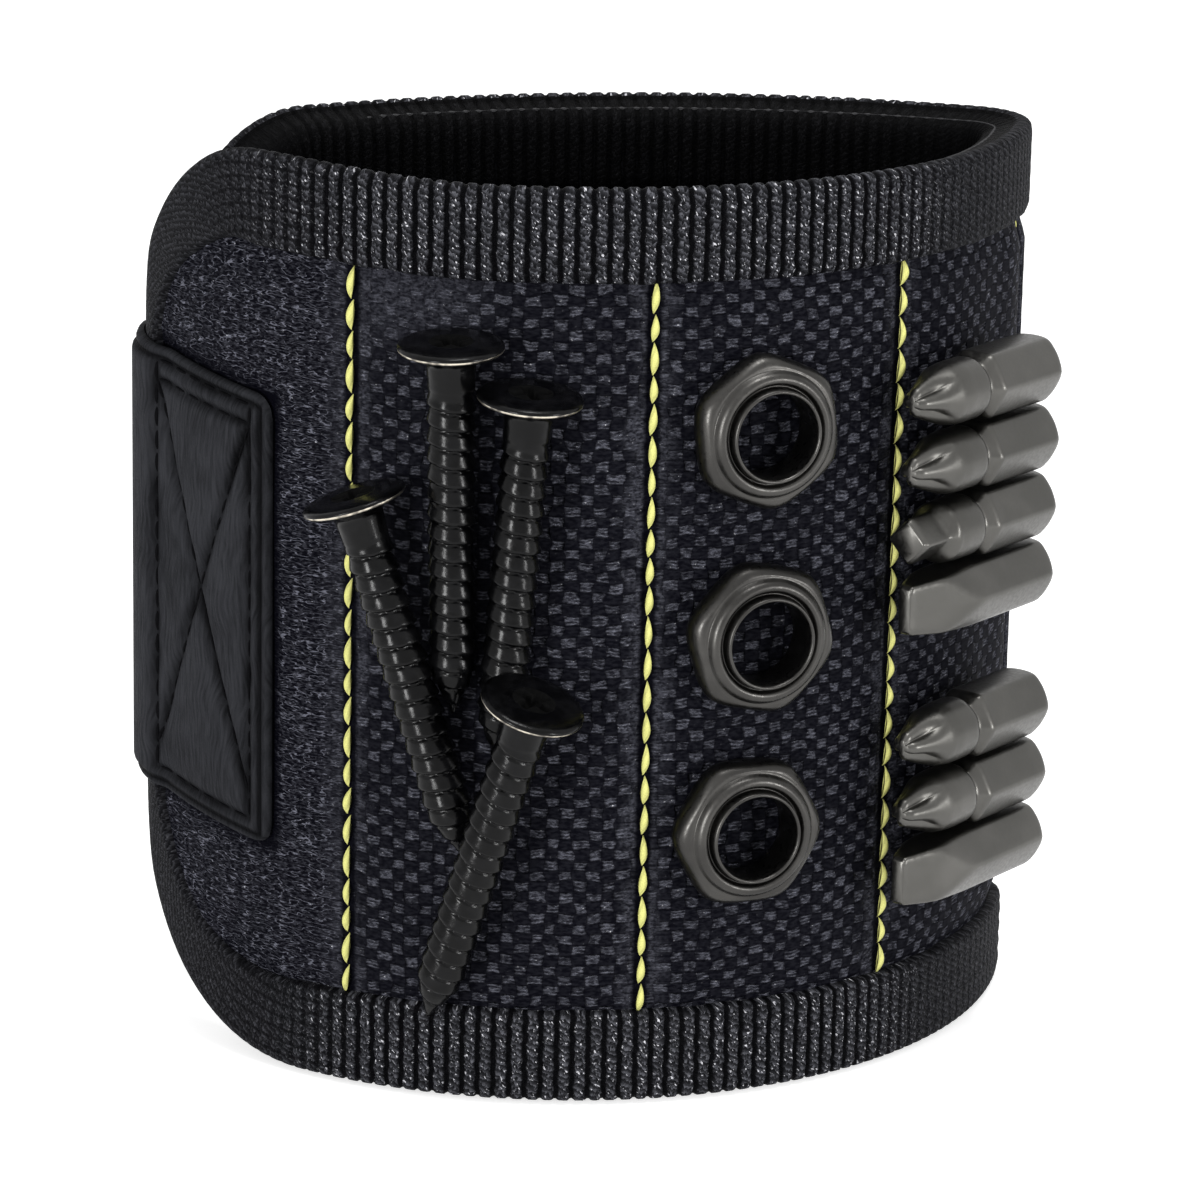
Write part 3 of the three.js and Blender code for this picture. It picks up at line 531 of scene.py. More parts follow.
def mottled(finish, dark, light, scale, detail, relief, limits=None, stretch=None):
    """One noise in the object's space, from dark to light, which is also the relief."""
    mottle = finish.noise(finish.solid(), scale, detail, stretch)
    finish.colour(finish.remap(mottle, *limits) if limits else mottle, dark, light)
    if relief:
        finish.bump(mottle, relief)
    return finish.material


def pile(name, colour, tip, scale):
    """Hook or loop pile: a dense mat of short fibres."""
    return mottled(Finish(name, colour, 0.9, specular=0.03), colour, tip, scale, 3.0, 0.5, (0.42, 0.7))


cloth_finish = nylon_cloth()
tape_finish = ribbed_tape("ribbed_tape", (0.104, 0.106, 0.121), (0.0018, 0.0018, 0.0024), 0.8)
# Painted shade: a near black copy of the tape for its side inside the loop.
shaded_inner_tape_finish = ribbed_tape("ribbed_tape_inside_shaded", (0.007, 0.007, 0.008), (0.001, 0.001, 0.0012), 0.01)
lining_finish = mesh_lining()
leather_finish = smooth_leather()
webbing_finish = strap_webbing()
hook_finish = pile("hook_pile", (0.006, 0.006, 0.007), (0.03, 0.03, 0.034), 2.4)
loop_finish = pile("loop_pile", (0.007, 0.007, 0.009), (0.04, 0.04, 0.046), 1.3)
yellow_finish = yellow_thread()
dark_thread_finish = mottled(
    Finish("dark_thread", (0.006, 0.006, 0.008), 0.6, specular=0.015),
    (0.0016, 0.0016, 0.002), (0.006, 0.006, 0.007), 4.0, 2.0, 0.1, stretch=(1, 1, 0.4))
black_finish = black_steel()
# Pale metal where the black has rubbed off the edge of a screw's head
rim_finish = mottled(
    Finish("worn_rim", (0.55, 0.5, 0.4), 0.3, metallic=1.0),
    (0.12, 0.11, 0.1), (0.72, 0.66, 0.55), 0.9, 3.0, 0.0, (0.3, 0.6))
recess_finish = mottled(
    Finish("black_recess", (0.002, 0.002, 0.0022), 0.7, specular=0.02),
    (0.001, 0.001, 0.0012), (0.006, 0.006, 0.006), 3.0, 2.0, 0.0)
nut_finish = satin_metal("gun_metal", (0.047, 0.0455, 0.0435), (0.07, 0.0678, 0.0643), 0.32)
bit_finish = satin_metal("bit_steel", (0.092, 0.09, 0.084), (0.115, 0.112, 0.105), 0.33)
magnet_finish = satin_metal("magnet_plate", (0.5, 0.5, 0.52), (0.62, 0.63, 0.65), 0.25)
foam_finish = mottled(
    Finish("core_foam", (0.03, 0.03, 0.032), 0.95), (0.018, 0.018, 0.02), (0.05, 0.05, 0.053), 2.5, 3.0, 0.3)


# Meshes


def settle_mesh(mesh, close_ends=False):
    """Turns the faces outwards, after closing the open ends where the sheet is rolled up."""
    work = bmesh.new()
    work.from_mesh(mesh)
    if close_ends:
        bmesh.ops.remove_doubles(work, verts=work.verts, dist=1e-6)
        bmesh.ops.holes_fill(work, edges=[edge for edge in work.edges if edge.is_boundary], sides=0)
    bmesh.ops.recalc_face_normals(work, faces=work.faces)
    work.to_mesh(mesh)
    work.free()


def make_object(name, points, faces, materials, layers=(), face_material=None):
    """An object with smooth faces and up to two layers of texture places, one for each corner."""
    mesh = bpy.data.meshes.new(name)
    mesh.from_pydata(points, [], faces)
    for material in materials:
        mesh.materials.append(material)
    mesh.polygons.foreach_set("use_smooth", [True] * len(faces))
    if face_material:
        mesh.polygons.foreach_set("material_index", face_material)
    for layer_name, corners in zip(("surface", "extra"), layers):
        layer = mesh.uv_layers.new(name=layer_name)
        layer.data.foreach_set("uv", [value for corner in corners for value in corner])
    made = bpy.data.objects.new(name, mesh)
    bpy.context.scene.collection.objects.link(made)
    return made


def grid_faces(rows, columns, first=0, wrap=False):
    """Quads of a grid of points, and for each corner its row and column."""
    faces = []
    corners = []
    for row in range(rows - 1):
        for column in range(columns if wrap else columns - 1):
            low = first + row * columns
            after = (column + 1) % columns
            faces.append([low + column, low + after, low + columns + after, low + columns + column])
            corners.append([(row, column), (row, column + 1), (row + 1, column + 1), (row + 1, column)])
    return faces, corners


def end_faces(rings, sides, first=0):
    """Faces that close both ends of a tube of rings."""
    return [[first + ring * sides + side for side in range(sides)] for ring in (0, rings - 1)]


def sheet_object(name, grid, materials, column_material=None):
    """A grid of (point, texture place along and up) or of those and two more values."""
    faces, corners = grid_faces(len(grid), len(grid[0]))
    layers = [[grid[row][column][part] for quad in corners for row, column in quad]
              for part in range(1, len(grid[0][0]))]
    chosen = [column_material[quad[0][1]] for quad in corners] if column_material else None
    return make_object(name, [entry[0] for row in grid for entry in row], faces, materials, layers, chosen)


def turned_object(name, rings, materials, ring_material=None, caps=True):
    """Surface through rings of points in millimetres; ring_material picks the material of each band."""
    sides = len(rings[0])
    faces, corners = grid_faces(len(rings), sides, wrap=True)
    chosen = [ring_material[quad[0][0]] if ring_material else 0 for quad in corners]
    if caps:
        faces += end_faces(len(rings), sides)
        chosen += [chosen[0], chosen[-1]]
    points = [Vector(point) * MM for ring in rings for point in ring]
    made = make_object(name, points, faces, materials, face_material=chosen)
    settle_mesh(made.data)
    return made


def carry(piece, body, slot, *nodes):
    """The piece rides on a body and stands for the nodes; the slot is not used."""
    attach(piece, body)
    if nodes:
        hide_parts(*nodes)


# Leather patch
PATCH_WIDTH = 26.0
PATCH_START = NEAR_END - 4.0 + PATCH_WIDTH
PATCH_HEIGHT = 44.0
PATCH_MIDDLE = 45.4
PATCH_SLOPE = -0.13
PATCH_THICKNESS = 0.8
PATCH_CORNER = 2.2
PATCH_PRESS = 0.35
PATCH_PRESS_REACH = 0.75
PATCH_ON_CLOTH = -0.75
PATCH_ON_END = 0.05
PATCH_RAMP = (-53.0, -55.4)
BOX_SIDE_INSET = 2.5
BOX_WIDTH = 14.0
TOP_ROWS = (1.3, 3.1)
BOTTOM_ROW = 2.2
CROSS_ABOVE_BOTTOM = 4.6
STRAP_ROW = -62.3
STRAP_ROW_INSET = 2.0


def patch_middle(along):
    return PATCH_MIDDLE + PATCH_SLOPE * (along - PATCH_START + PATCH_WIDTH / 2)


def beside_patch(along, height):
    """1 where the cloth is pulled down under the patch's edge, 0 away from it. The cloth's colour also takes
    this value as a painted contact shadow.
    """
    if along < PATCH_START - PATCH_WIDTH:
        return 0.0
    out_across = max(along - PATCH_START, 0.0)
    out_up = max(abs(height - patch_middle(along)) - PATCH_HEIGHT / 2, 0.0)
    return bell(math.hypot(out_across, out_up), PATCH_PRESS_REACH)


def no_shade(along, height):
    return 0.0


# Cloth and lining


def rim_rise(along, height):
    """The rim stands a little higher towards the near end."""
    return RIM_RISE * smooth(along, -56, -43) * (1 - smooth(along, -40, -16)) * smooth(height, 60, 86)


def corner_rise(along, inset, near_corner, far_corner):
    """Height that the panel loses at its rounded corners."""
    from_near = along - NEAR_END - inset
    from_far = FAR_END - inset - along
    from_end, rounding = min((from_near, near_corner), (from_far, far_corner))
    radius = rounding - inset
    reach = min(max(radius - from_end, 0.0), radius)
    return radius - math.sqrt(radius ** 2 - reach ** 2)


def cloth_offset(along, height):
    """The cloth is drawn in at the stitches and under the binding, and puckers beside the thread."""
    distance = min(abs(along - line) for line in STITCHES)
    at_tip = smooth(along, 44, 50) * (1 - smooth(along, 60, 68))
    reach = lerp(PUFF_REACH, TIP_PUFF_REACH, at_tip)
    puff = lerp(POCKET_PUFF, TIP_PUFF, at_tip) * (1 - math.exp(-distance / reach))
    from_binding = min(height, BAND_HEIGHT - height) - BINDING_WIDTH
    puff *= smooth(from_binding, -1.0, 3.5)
    pucker = PUCKER_DEPTH * math.sin(TAU * height / PUCKER_PITCH) * math.exp(-distance / PUCKER_REACH)
    wander = WANDER * rough(along / 9, height / 12, 0.3) * smooth(distance, 0.5, 5)
    return CLOTH_LOW + puff + pucker + wander - PATCH_PRESS * beside_patch(along, height)


def lining_offset(along, height):
    return LINING_OFFSET


def panel_sheet(name, first, last, offset_at, inset, material, shade_at=no_shade, step=0.7):
    grid = []
    for along in spread(first, last, step):
        low = inset + corner_rise(along, inset, BOTTOM_CORNER, BOTTOM_CORNER)
        high = BAND_HEIGHT - inset - corner_rise(along, inset, TOP_CORNER, FAR_TOP_CORNER)
        heights = [lerp(low, high, row / PANEL_ROWS) for row in range(PANEL_ROWS + 1)]
        grid.append([(
            on_wall(along, offset_at(along, height), height + rim_rise(along, height)),
            (along, height), (shade_at(along, height), 0.0),
        ) for height in heights])
    return sheet_object(name, grid, [material])


def bend_with_near_end(piece, slot, *nodes):
    """Bakes the piece's place into its mesh and hides the nodes that it stands for."""
    on_wall(HINGE + BEND_REACH / 2, 0, 0)
    on_wall(HINGE - BEND_REACH, 0, 0)
    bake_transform(piece)
    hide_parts(*nodes)


def panel_pieces(name, node, slot, offset_at, inset, material, **front_settings):
    """A layer of the panel as a front piece, from the near end to the split, and the rest."""
    front = panel_sheet(
        name + "_front", NEAR_END + CLOTH_INSET, SPLIT, offset_at, inset, material, **front_settings)
    rest = panel_sheet(name + "_rest", SPLIT, FAR_END - CLOTH_INSET, offset_at, inset, material)
    bend_with_near_end(front, slot, node + "_near_end", node + "_main")
    carry(rest, "band", slot, node + "_main")
    return front, rest


for cloth in panel_pieces("cloth", "outer_fabric", "nylon_cloth", cloth_offset, CLOTH_INSET, cloth_finish,
                          shade_at=beside_patch, step=0.5):
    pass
panel_pieces("lining", "mesh_lining", "mesh_lining", lining_offset, LINING_INSET, lining_finish)


# Binding: a ribbed tape folded over the edge, followed round the outline of the panel

# Inner side of the fold as (depth, offset): over the edge of the core, then down the inside of the wall
FOLD_ROOF = ((0.5, -2.0), (0.72, -2.7), (0.95, -3.4), (1.15, -4.0), (1.6, -4.7), (2.4, -5.15))
FOLD_RADIUS = 0.95
TAPE_STEPS = 16


def outline_places(first, last, step):
    """Places on the outline as (travel, along, height, inward direction, share of the way into an end)."""
    places = []
    for travel in spread(first, last, step):
        part = 0
        reached = travel
        while part < len(OUTLINE) - 1 and reached > OUTLINE[part][0]:
            reached -= OUTLINE[part][0]
            part += 1
        length, place = OUTLINE[part]
        places.append((travel, *place(min(reached / length, 1.0))))
    return places


def tape_section(width):
    """Points (depth, offset), relief direction and whether the point is inside the loop."""
    section = [(width + 0.15, -1.9, 0, 0, 0), (width + 0.1, -1.0, 0, 0, 0), (width, -0.45, 0, 0.3, 0),
               (width - 0.25, -0.14, 0, 0.8, 0)]
    for step in range(1, TAPE_STEPS + 1):
        section.append((lerp(width - 0.3, 1.1, step / TAPE_STEPS), 0.0, 0, 1, 0))
    half = FOLD_THICKNESS / 2
    for step in range(1, 6):
        turn = step * math.pi / 7
        section.append((FOLD_RADIUS - FOLD_RADIUS * math.sin(turn), half * math.cos(turn) - half,
                        -math.sin(turn), math.cos(turn), 1 if step > 4 else 0))
    section += [(depth, offset, -0.5, -0.6, 1) for depth, offset in FOLD_ROOF]
    roof_depth, roof_offset = FOLD_ROOF[-1]
    section += [(lerp(roof_depth, width, step / 5), roof_offset, 0, -1, 1) for step in range(1, 6)]
    section.append((width + 0.2, roof_offset + 0.8, 0, 0, 1))
    return section


def rib_shares(along, height, end_share):
    """How strong the ribs stand at a place, and how far rows cross them into a grid."""
    right = smooth(along, 20, 36) * (1 - smooth(along, 62, 84))
    turned = smooth(end_share, 0.0, 0.3)
    left = 1 - smooth(along, -44, -30) if height > BAND_HEIGHT / 2 else 1 - smooth(along, -38, -27)
    strong = (1 - 0.8 * right) * (1 - 0.85 * turned) * (1 - 0.8 * left)
    crossed = smooth(along, -52, -44) * (1 - smooth(along, -33, -24))
    return strong, crossed


def tape_object(name, first, last):
    grid = []
    for travel, along, height, inward, end_share in outline_places(first, last, RIB_PITCH / 8):
        width = lerp(BINDING_WIDTH, END_BINDING_WIDTH, end_share)
        section = tape_section(width)
        strong, crossed = rib_shares(along, height, end_share)
        number = math.floor(travel / RIB_PITCH + 0.5) % RIB_COUNT
        from_joint = smooth(min(travel, OUTLINE_LENGTH - travel), 0, 3)
        edge_wave = 0.14 * from_joint * rough(travel / 3, 5.0, 0)
        row = []
        for depth, offset, lean, stand, _ in section:
            sway = 0.06 * math.sin(TAU * depth / 1.9 + 2.1 * number)
            sway += 0.14 * rough(number * 1.7, depth * 1.6, offset)
            phase = travel + sway * strong
            hump = smooth(abs(math.sin(math.pi * phase / RIB_PITCH)), 0.15, 0.75)
            relief = RIB_HEIGHT * (hump - 0.75) * strong
            relief *= 1 + 0.4 * rough(number * 2.3, depth * 2.2, 4.0)
            sunk = depth + 0.6 * relief * lean + (edge_wave if depth > width - 0.6 else 0)
            lines = 0.05 * math.cos(TAU * depth / 1.7) * smooth(along, 26, 34) * (1 if height < 44 else 0.3)
            stood = offset + relief * stand + lines * stand
            up = height + sunk * inward[1]
            row.append((on_wall(along + sunk * inward[0], stood, up + rim_rise(along, up)),
                        (phase, depth if offset > -FOLD_THICKNESS else depth + 2), (strong, crossed)))
        grid.append(row)
    # Points inside the loop take the tape's near black copy, painted in shade.
    inside = [entry[-1] for entry in section]
    return sheet_object(name, grid, [tape_finish, shaded_inner_tape_finish], inside)


tape_front = tape_object("tape_front", 0, FRONT_TAPE)
tape_rest = tape_object("tape_rest", FRONT_TAPE, OUTLINE_LENGTH)
bend_with_near_end(tape_front, "binding_tape", "binding_near_end", "binding_top", "binding_bottom")
carry(tape_rest, "band", "binding_tape", "binding_top", "binding_bottom")


# Rows of yellow stitches: each a twisted lens of thread that dives into the cloth at both ends

STITCHES_PER_LINE = 24
STITCH_LOW = BINDING_WIDTH - 0.2
STITCH_HIGH = BAND_HEIGHT - BINDING_WIDTH + 0.2
THREAD_RADIUS = 0.41
THREAD_SEED = 40
TIP_LINE = 3
TIP_SINK = 0.62
STITCH_STEPS = 12
STITCH_SIDES = 12


def stitch_points(along, low, length, sink, chance):
    """Rings of one stitch, with its own small lean, width and lift."""
    rings = []
    lean = chance.uniform(-0.08, 0.08) + 0.1
    wide = chance.uniform(0.92, 1.1)
    for step in range(STITCH_STEPS + 1):
        share = step / STITCH_STEPS
        swell = math.sin(math.pi * min(max(share, 0.02), 0.98)) ** 0.9
        centre = along + lean * (share - 0.5) * 2
        height = low + length * (share * 0.98 + 0.01)
        lift = CLOTH_LOW + 0.12 - sink + 0.5 * math.sin(math.pi * share) ** 0.7
        ring = []
        for turn in turns(STITCH_SIDES):
            ply = 1 + 0.08 * math.cos(2 * turn - 5.0 * share)
            radius = THREAD_RADIUS * swell * ply * wide
            ring.append(on_wall(centre + radius * math.cos(turn), lift + 0.8 * radius * math.sin(turn), height))
        rings.append(ring)
    return rings


def stitch_line(number):
    chance = random.Random(THREAD_SEED + number)
    sink = TIP_SINK if number == TIP_LINE else 0.0
    weights = [chance.uniform(0.88, 1.12) for _ in range(STITCHES_PER_LINE)]
    lengths = [(STITCH_HIGH - STITCH_LOW) * weight / sum(weights) for weight in weights]
    points = []
    faces = []
    uv = []
    for stitch, length in enumerate(lengths):
        rings = stitch_points(STITCHES[number], STITCH_LOW + sum(lengths[:stitch]), length, sink, chance)
        quads, corners = grid_faces(len(rings), STITCH_SIDES, len(points), wrap=True)
        faces += quads + end_faces(len(rings), STITCH_SIDES, len(points))
        for quad in corners:
            uv += [(column / STITCH_SIDES * TAU, row * length / STITCH_STEPS) for row, column in quad]
        uv += [(0, 0)] * (2 * STITCH_SIDES)
        points += [point for ring in rings for point in ring]
    made = make_object(f"yellow_stitches_{number + 1}", points, faces, [yellow_finish], [uv])
    settle_mesh(made.data)
    carry(made, "band", "yellow_thread", f"stitch_line_{number + 1}")


for number in range(len(STITCHES)):
    stitch_line(number)


# Leather patch, pressed in along its sewn box and cross

PATCH_STEP = 0.3
PATCH_ROWS = 150
PATCH_LIFT = 0.1


def patch_bed(along):
    """Offset of what the patch lies on: the cloth, then the end binding and the strap's root."""
    near, far = PATCH_RAMP
    return lerp(PATCH_ON_CLOTH, PATCH_ON_END, smooth(-along, -near, -far))


def segment_distance(along, up, start, end):
    run = Vector(end) - Vector(start)
    out = Vector((along, up)) - Vector(start)
    return (out - run * min(max(out.dot(run) / run.length_squared, 0), 1)).length


def patch_lines():
    """The sewn lines as pairs of ends, in distance along the wall and height above the patch's middle."""
    right = PATCH_START - BOX_SIDE_INSET
    left = right - BOX_WIDTH
    half = PATCH_HEIGHT / 2
    high, second = (half - row for row in TOP_ROWS)
    low = BOTTOM_ROW - half
    cross_low = CROSS_ABOVE_BOTTOM - half
    strap_reach = half - STRAP_ROW_INSET
    box = [(right, high), (left, high), (left, low), (right, low)]
    return [(box[side], box[(side + 1) % 4]) for side in range(4)] + [
        ((right, second), (left, second)),
        ((right, second), (left, cross_low)),
        ((left, second), (right, cross_low)),
        ((STRAP_ROW, -strap_reach), (STRAP_ROW, strap_reach)),
    ]


PATCH_LINES = patch_lines()


def patch_side(along):
    """Distance inwards from the nearest upright side of the patch."""
    return min(PATCH_START - along, along - PATCH_START + PATCH_WIDTH)


def patch_edge(along, up):
    """Distance inwards from the nearest side of the patch."""
    return min(patch_side(along), PATCH_HEIGHT / 2 - abs(up))


def line_distance(along, up):
    """Distance to the nearest sewn line, which wavers a little."""
    waver = 0.18 * rough(along / 2.4, up / 2.4, 7.0)
    return min(segment_distance(along + waver, up, *line) for line in PATCH_LINES)


def patch_surface(along, up):
    """Outer face of the patch above its bed: swollen between the sewn lines, rolled at its edge."""
    edge = patch_edge(along, up)
    nearest = line_distance(along, up)
    swell = 0.42 * (1 - math.exp(-nearest / 1.3)) - 0.34 * bell(nearest, 0.5)
    gutter = 0.3 * bell(edge - 1.0, 0.36)
    return PATCH_THICKNESS * smooth(edge, -0.35, 0.55) + swell * smooth(edge, 0.3, 1.6) - gutter


def patch_shade(along, up):
    """Painted shade on the leather: dark in its creases, in the gutter inside its edge and along the edge
    itself.
    """
    edge = patch_edge(along, up)
    # The painted shade in the creases is stronger in some places than in others.
    uneven_shade = 0.75 + 0.5 * rough(along / 4, up / 4, 2.0)
    crease_shade = 1.05 * uneven_shade * bell(line_distance(along, up), 0.62)
    return min(max(crease_shade, bell(edge - 1.0, 0.45), 0.9 * bell(max(edge, 0.0), 0.22)), 1.0)


def patch_reach(along):
    """Upper reach of the patch at a place along it, with rounded corners."""
    cut = PATCH_CORNER - min(max(patch_side(along), 0.0), PATCH_CORNER)
    return PATCH_HEIGHT / 2 - PATCH_CORNER + math.sqrt(max(PATCH_CORNER ** 2 - cut ** 2, 0))


def on_patch(along, up, stand):
    """A place above the patch's bed."""
    return on_wall(along, patch_bed(along) + PATCH_LIFT + stand, patch_middle(along) + up)


def patch_object():
    grid = []
    alongs = spread(PATCH_START, PATCH_START - PATCH_WIDTH, PATCH_STEP)
    for along in alongs:
        reach = patch_reach(along)
        row = []
        for step in range(PATCH_ROWS + 1):
            up = lerp(-reach, reach, step / PATCH_ROWS)
            at_rim = step in (0, PATCH_ROWS) or along in (alongs[0], alongs[-1])
            stand = 0.0 if at_rim else patch_surface(along, up)
            row.append((on_patch(along, up, stand), (along, patch_middle(along) + up),
                        (patch_shade(along, up), 0.0)))
        grid.append(row)
    return sheet_object("patch", grid, [leather_finish])


carry(patch_object(), "near_end", "leather", "leather_patch")

SEAM_RADIUS = 0.13
SEAM_PITCH = 2.2
SEAM_STEPS = 6
SEAM_SIDES = 8


def sewn_thread(name, lines, place_at, body, *nodes):
    """Rows of small dark stitches laid in the sewn lines."""
    points = []
    faces = []
    for start, end in lines:
        run = Vector(end) - Vector(start)
        count = max(1, round(run.length / SEAM_PITCH))
        side = Vector((-run.y, run.x)).normalized()
        for stitch in range(count):
            quads, _ = grid_faces(SEAM_STEPS + 1, SEAM_SIDES, len(points), wrap=True)
            faces += quads + end_faces(SEAM_STEPS + 1, SEAM_SIDES, len(points))
            for step in range(SEAM_STEPS + 1):
                centre = Vector(start) + run * ((stitch + 0.06 + 0.88 * step / SEAM_STEPS) / count)
                swell = math.sin(math.pi * (0.04 + 0.92 * step / SEAM_STEPS)) ** 0.5
                for turn in turns(SEAM_SIDES):
                    across = centre + side * (SEAM_RADIUS * swell * math.cos(turn))
                    stand = SEAM_RADIUS * (swell * math.sin(turn) + swell - 0.6)
                    points.append(place_at(across.x, across.y, stand))
    made = make_object(name, points, faces, [dark_thread_finish])
    settle_mesh(made.data)
    carry(made, body, "dark_thread", *nodes)


sewn_thread("patch_stitches", PATCH_LINES,
            lambda along, up, stand: on_patch(along, up, patch_surface(along, up) + stand),
            "near_end", "patch_box_stitch")


# Closing strap: webbing in three pieces, hook pads, loop field and grip tab

STRAP_FROM = NEAR_END - 0.5
STRAP_ROOT_END = STRAP_FROM - 4.7
STRAP_GAP = 0.5
STRAP_LINK = 21.4
STRAP_WIDTH = 41.0
STRAP_MIDDLE = 46.4
STRAP_THICKNESS = 0.8
STRAP_BEND = 1.2
STRAP_UNDER = -0.8
STRAP_LOW = 0.25
STRAP_HIGH = 2.0
LINK_STARTS = [STRAP_ROOT_END - STRAP_GAP - link * (STRAP_LINK + STRAP_GAP) for link in range(3)]
STRAP_END = LINK_STARTS[2] - STRAP_LINK
HOOK_INSET = 1.6
HOOK_END_INSET = 4.0
HOOK_OFFSET = 0.85
HOOK_THICKNESS = 0.9
HOOK_WIDTH = STRAP_WIDTH - 4
LOOP_FROM = LINK_STARTS[1] + 2
LOOP_LENGTH = 46
LOOP_OFFSET = -0.75
LOOP_THICKNESS = 1.35
LOOP_WIDTH = 50.0
RISE_LENGTH = 12.0
STRIP_EDGE = 0.35
STRIP_STEP = 0.8
STRIP_COLUMNS = 24


def strap_inner(along):
    """Inner face of the strap: under the patch, then on the far end's binding, then over the hook pads."""
    on_binding = lerp(STRAP_UNDER, STRAP_LOW, smooth(-along, -PATCH_START + PATCH_WIDTH, END_GAP - NEAR_END))
    return lerp(on_binding, STRAP_HIGH, smooth(-along, -LOOP_FROM - RISE_LENGTH, -LOOP_FROM))


def flat_strip(name, first, last, inner_at, thickness, width, material):
    """Flat strip along the wall with rolled sides, closed at its ends."""
    half = width / 2
    flat = half - STRIP_EDGE
    profile = [(-flat, 0), (flat, 0), (half, thickness / 2)]
    profile += [(lerp(flat, -flat, step / STRIP_COLUMNS), thickness) for step in range(STRIP_COLUMNS + 1)]
    profile += [(-half, thickness / 2), (-flat, 0)]
    grid = [[
        (on_wall(along, inner_at(along) + stand, STRAP_MIDDLE + up), (along, STRAP_MIDDLE + up))
        for up, stand in profile
    ] for along in spread(first, last, STRIP_STEP)]
    made = sheet_object(name, grid, [material])
    settle_mesh(made.data, close_ends=True)
    return made


STRAP_NODES = ("strap_root", "strap_near", "strap_middle", "strap_tail")
STRAP_SPLITS = (
    STRAP_FROM, LINK_STARTS[0] - STRAP_LINK / 2, LINK_STARTS[1] - STRAP_LINK / 2, STRAP_END)
for joint, name in enumerate(("webbing_root", "webbing_middle", "webbing_tail")):
    webbing = flat_strip(name, *STRAP_SPLITS[joint:joint + 2], strap_inner, STRAP_THICKNESS, STRAP_WIDTH,
                         webbing_finish)
    joint_along = LINK_STARTS[joint] + STRAP_GAP / 2
    level = strap_inner(joint_along)
    on_wall(joint_along + STRAP_BEND, level, 0)
    on_wall(joint_along - STRAP_BEND, level, 0)
    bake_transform(webbing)
    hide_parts(*STRAP_NODES[joint:joint + 2])

for name, start, end, offset, thickness, width, finish, body, node in (
    ("hooks_middle", LINK_STARTS[1] - HOOK_INSET, LINK_STARTS[1] - STRAP_LINK + HOOK_INSET,
     HOOK_OFFSET, HOOK_THICKNESS, HOOK_WIDTH, hook_finish, "strap_middle", "hook_pad_middle"),
    ("hooks_tail", LINK_STARTS[2] - HOOK_INSET, STRAP_END + HOOK_END_INSET,
     HOOK_OFFSET, HOOK_THICKNESS, HOOK_WIDTH, hook_finish, "strap_tail", "hook_pad_tail"),
    ("loops", LOOP_FROM, LOOP_FROM - LOOP_LENGTH,
     LOOP_OFFSET, LOOP_THICKNESS, LOOP_WIDTH, loop_finish, "band", "loop_field"),
):
    strip = flat_strip(name, start, end, lambda along: offset, thickness, width, finish)
    carry(strip, body, "hook_and_loop", node)

TAB_START = STRAP_END + 2.4
TAB_END = TAB_START - 8.5
TAB_HALF = STRAP_WIDTH / 2 + 1.5
TAB_OFFSET = STRAP_HIGH + STRAP_THICKNESS / 2
TAB_HALF_THICKNESS = 1.3
TAB_END_HALF_THICKNESS = 0.75
TAB_ROUNDING = 1.6
TAB_SIDES = 32
TAB_SHARES = [0, 0.02, 0.05, *spread(0.1, 0.9, 0.05), 0.95, 0.98, 1]
TAB_SEAM = STRAP_END + 1.0
TAB_SEAM_INSET = 2


def squared(value, power):
    """A sine or cosine pushed outwards, which squares off a circle."""
    return math.copysign(abs(value) ** power, value)


def grip_tab():
    """Leather folded round the strap's end, thinner at its own end."""
    grid = []
    for share in TAB_SHARES:
        up = lerp(-TAB_HALF, TAB_HALF, share)
        rounding = TAB_ROUNDING * (1 - math.sqrt(max(0.0, 1 - (2 * share - 1) ** 8)))
        thin = 0.35 + 0.65 * math.sqrt(max(0.0, 1 - (2 * share - 1) ** 12))
        ring = []
        for step in range(TAB_SIDES + 1):
            turn = TAU * step / TAB_SIDES
            across = squared(math.cos(turn), 0.25)
            reach = (TAB_START - TAB_END) / 2 - (rounding if across < 0 else 0)
            along = (TAB_START + TAB_END) / 2 + across * reach
            half = lerp(TAB_END_HALF_THICKNESS, TAB_HALF_THICKNESS, smooth(along, TAB_END, TAB_END + 4)) * thin
            offset = TAB_OFFSET + squared(math.sin(turn), 0.4) * half
            ring.append((on_wall(along, offset, STRAP_MIDDLE + up), (along, STRAP_MIDDLE + up)))
        grid.append(ring)
    made = sheet_object("grip", grid, [leather_finish])
    settle_mesh(made.data, close_ends=True)
    carry(made, "strap_tail", "leather", "grip_tab")


grip_tab()
sewn_thread(
    "grip_stitches", [((TAB_SEAM, -TAB_HALF + TAB_SEAM_INSET), (TAB_SEAM, TAB_HALF - TAB_SEAM_INSET))],
    lambda along, up, stand: on_wall(along, TAB_OFFSET + TAB_HALF_THICKNESS + stand, STRAP_MIDDLE + up),
    "strap_tail")


# Held hardware

SEAT = -0.5


def pocket_place(line, share):
    """Distance along the wall at a share of the pocket that follows a line of stitches."""
    return lerp(STITCHES[line], STITCHES[line + 1], share)


def soft_least(first, second, sharp):
    """The lesser of two numbers, with a soft turn where they meet."""
    least = min(first, second)
    return least - math.log(math.exp(-sharp * (first - least)) + math.exp(-sharp * (second - least))) / sharp


def round_points(sides, radius_at):
    """(x, y) round a section whose radius follows the angle."""
    reaches = [(turn, radius_at(turn)) for turn in turns(sides)]
    return [(reach * math.cos(turn), reach * math.sin(turn)) for turn, reach in reaches]


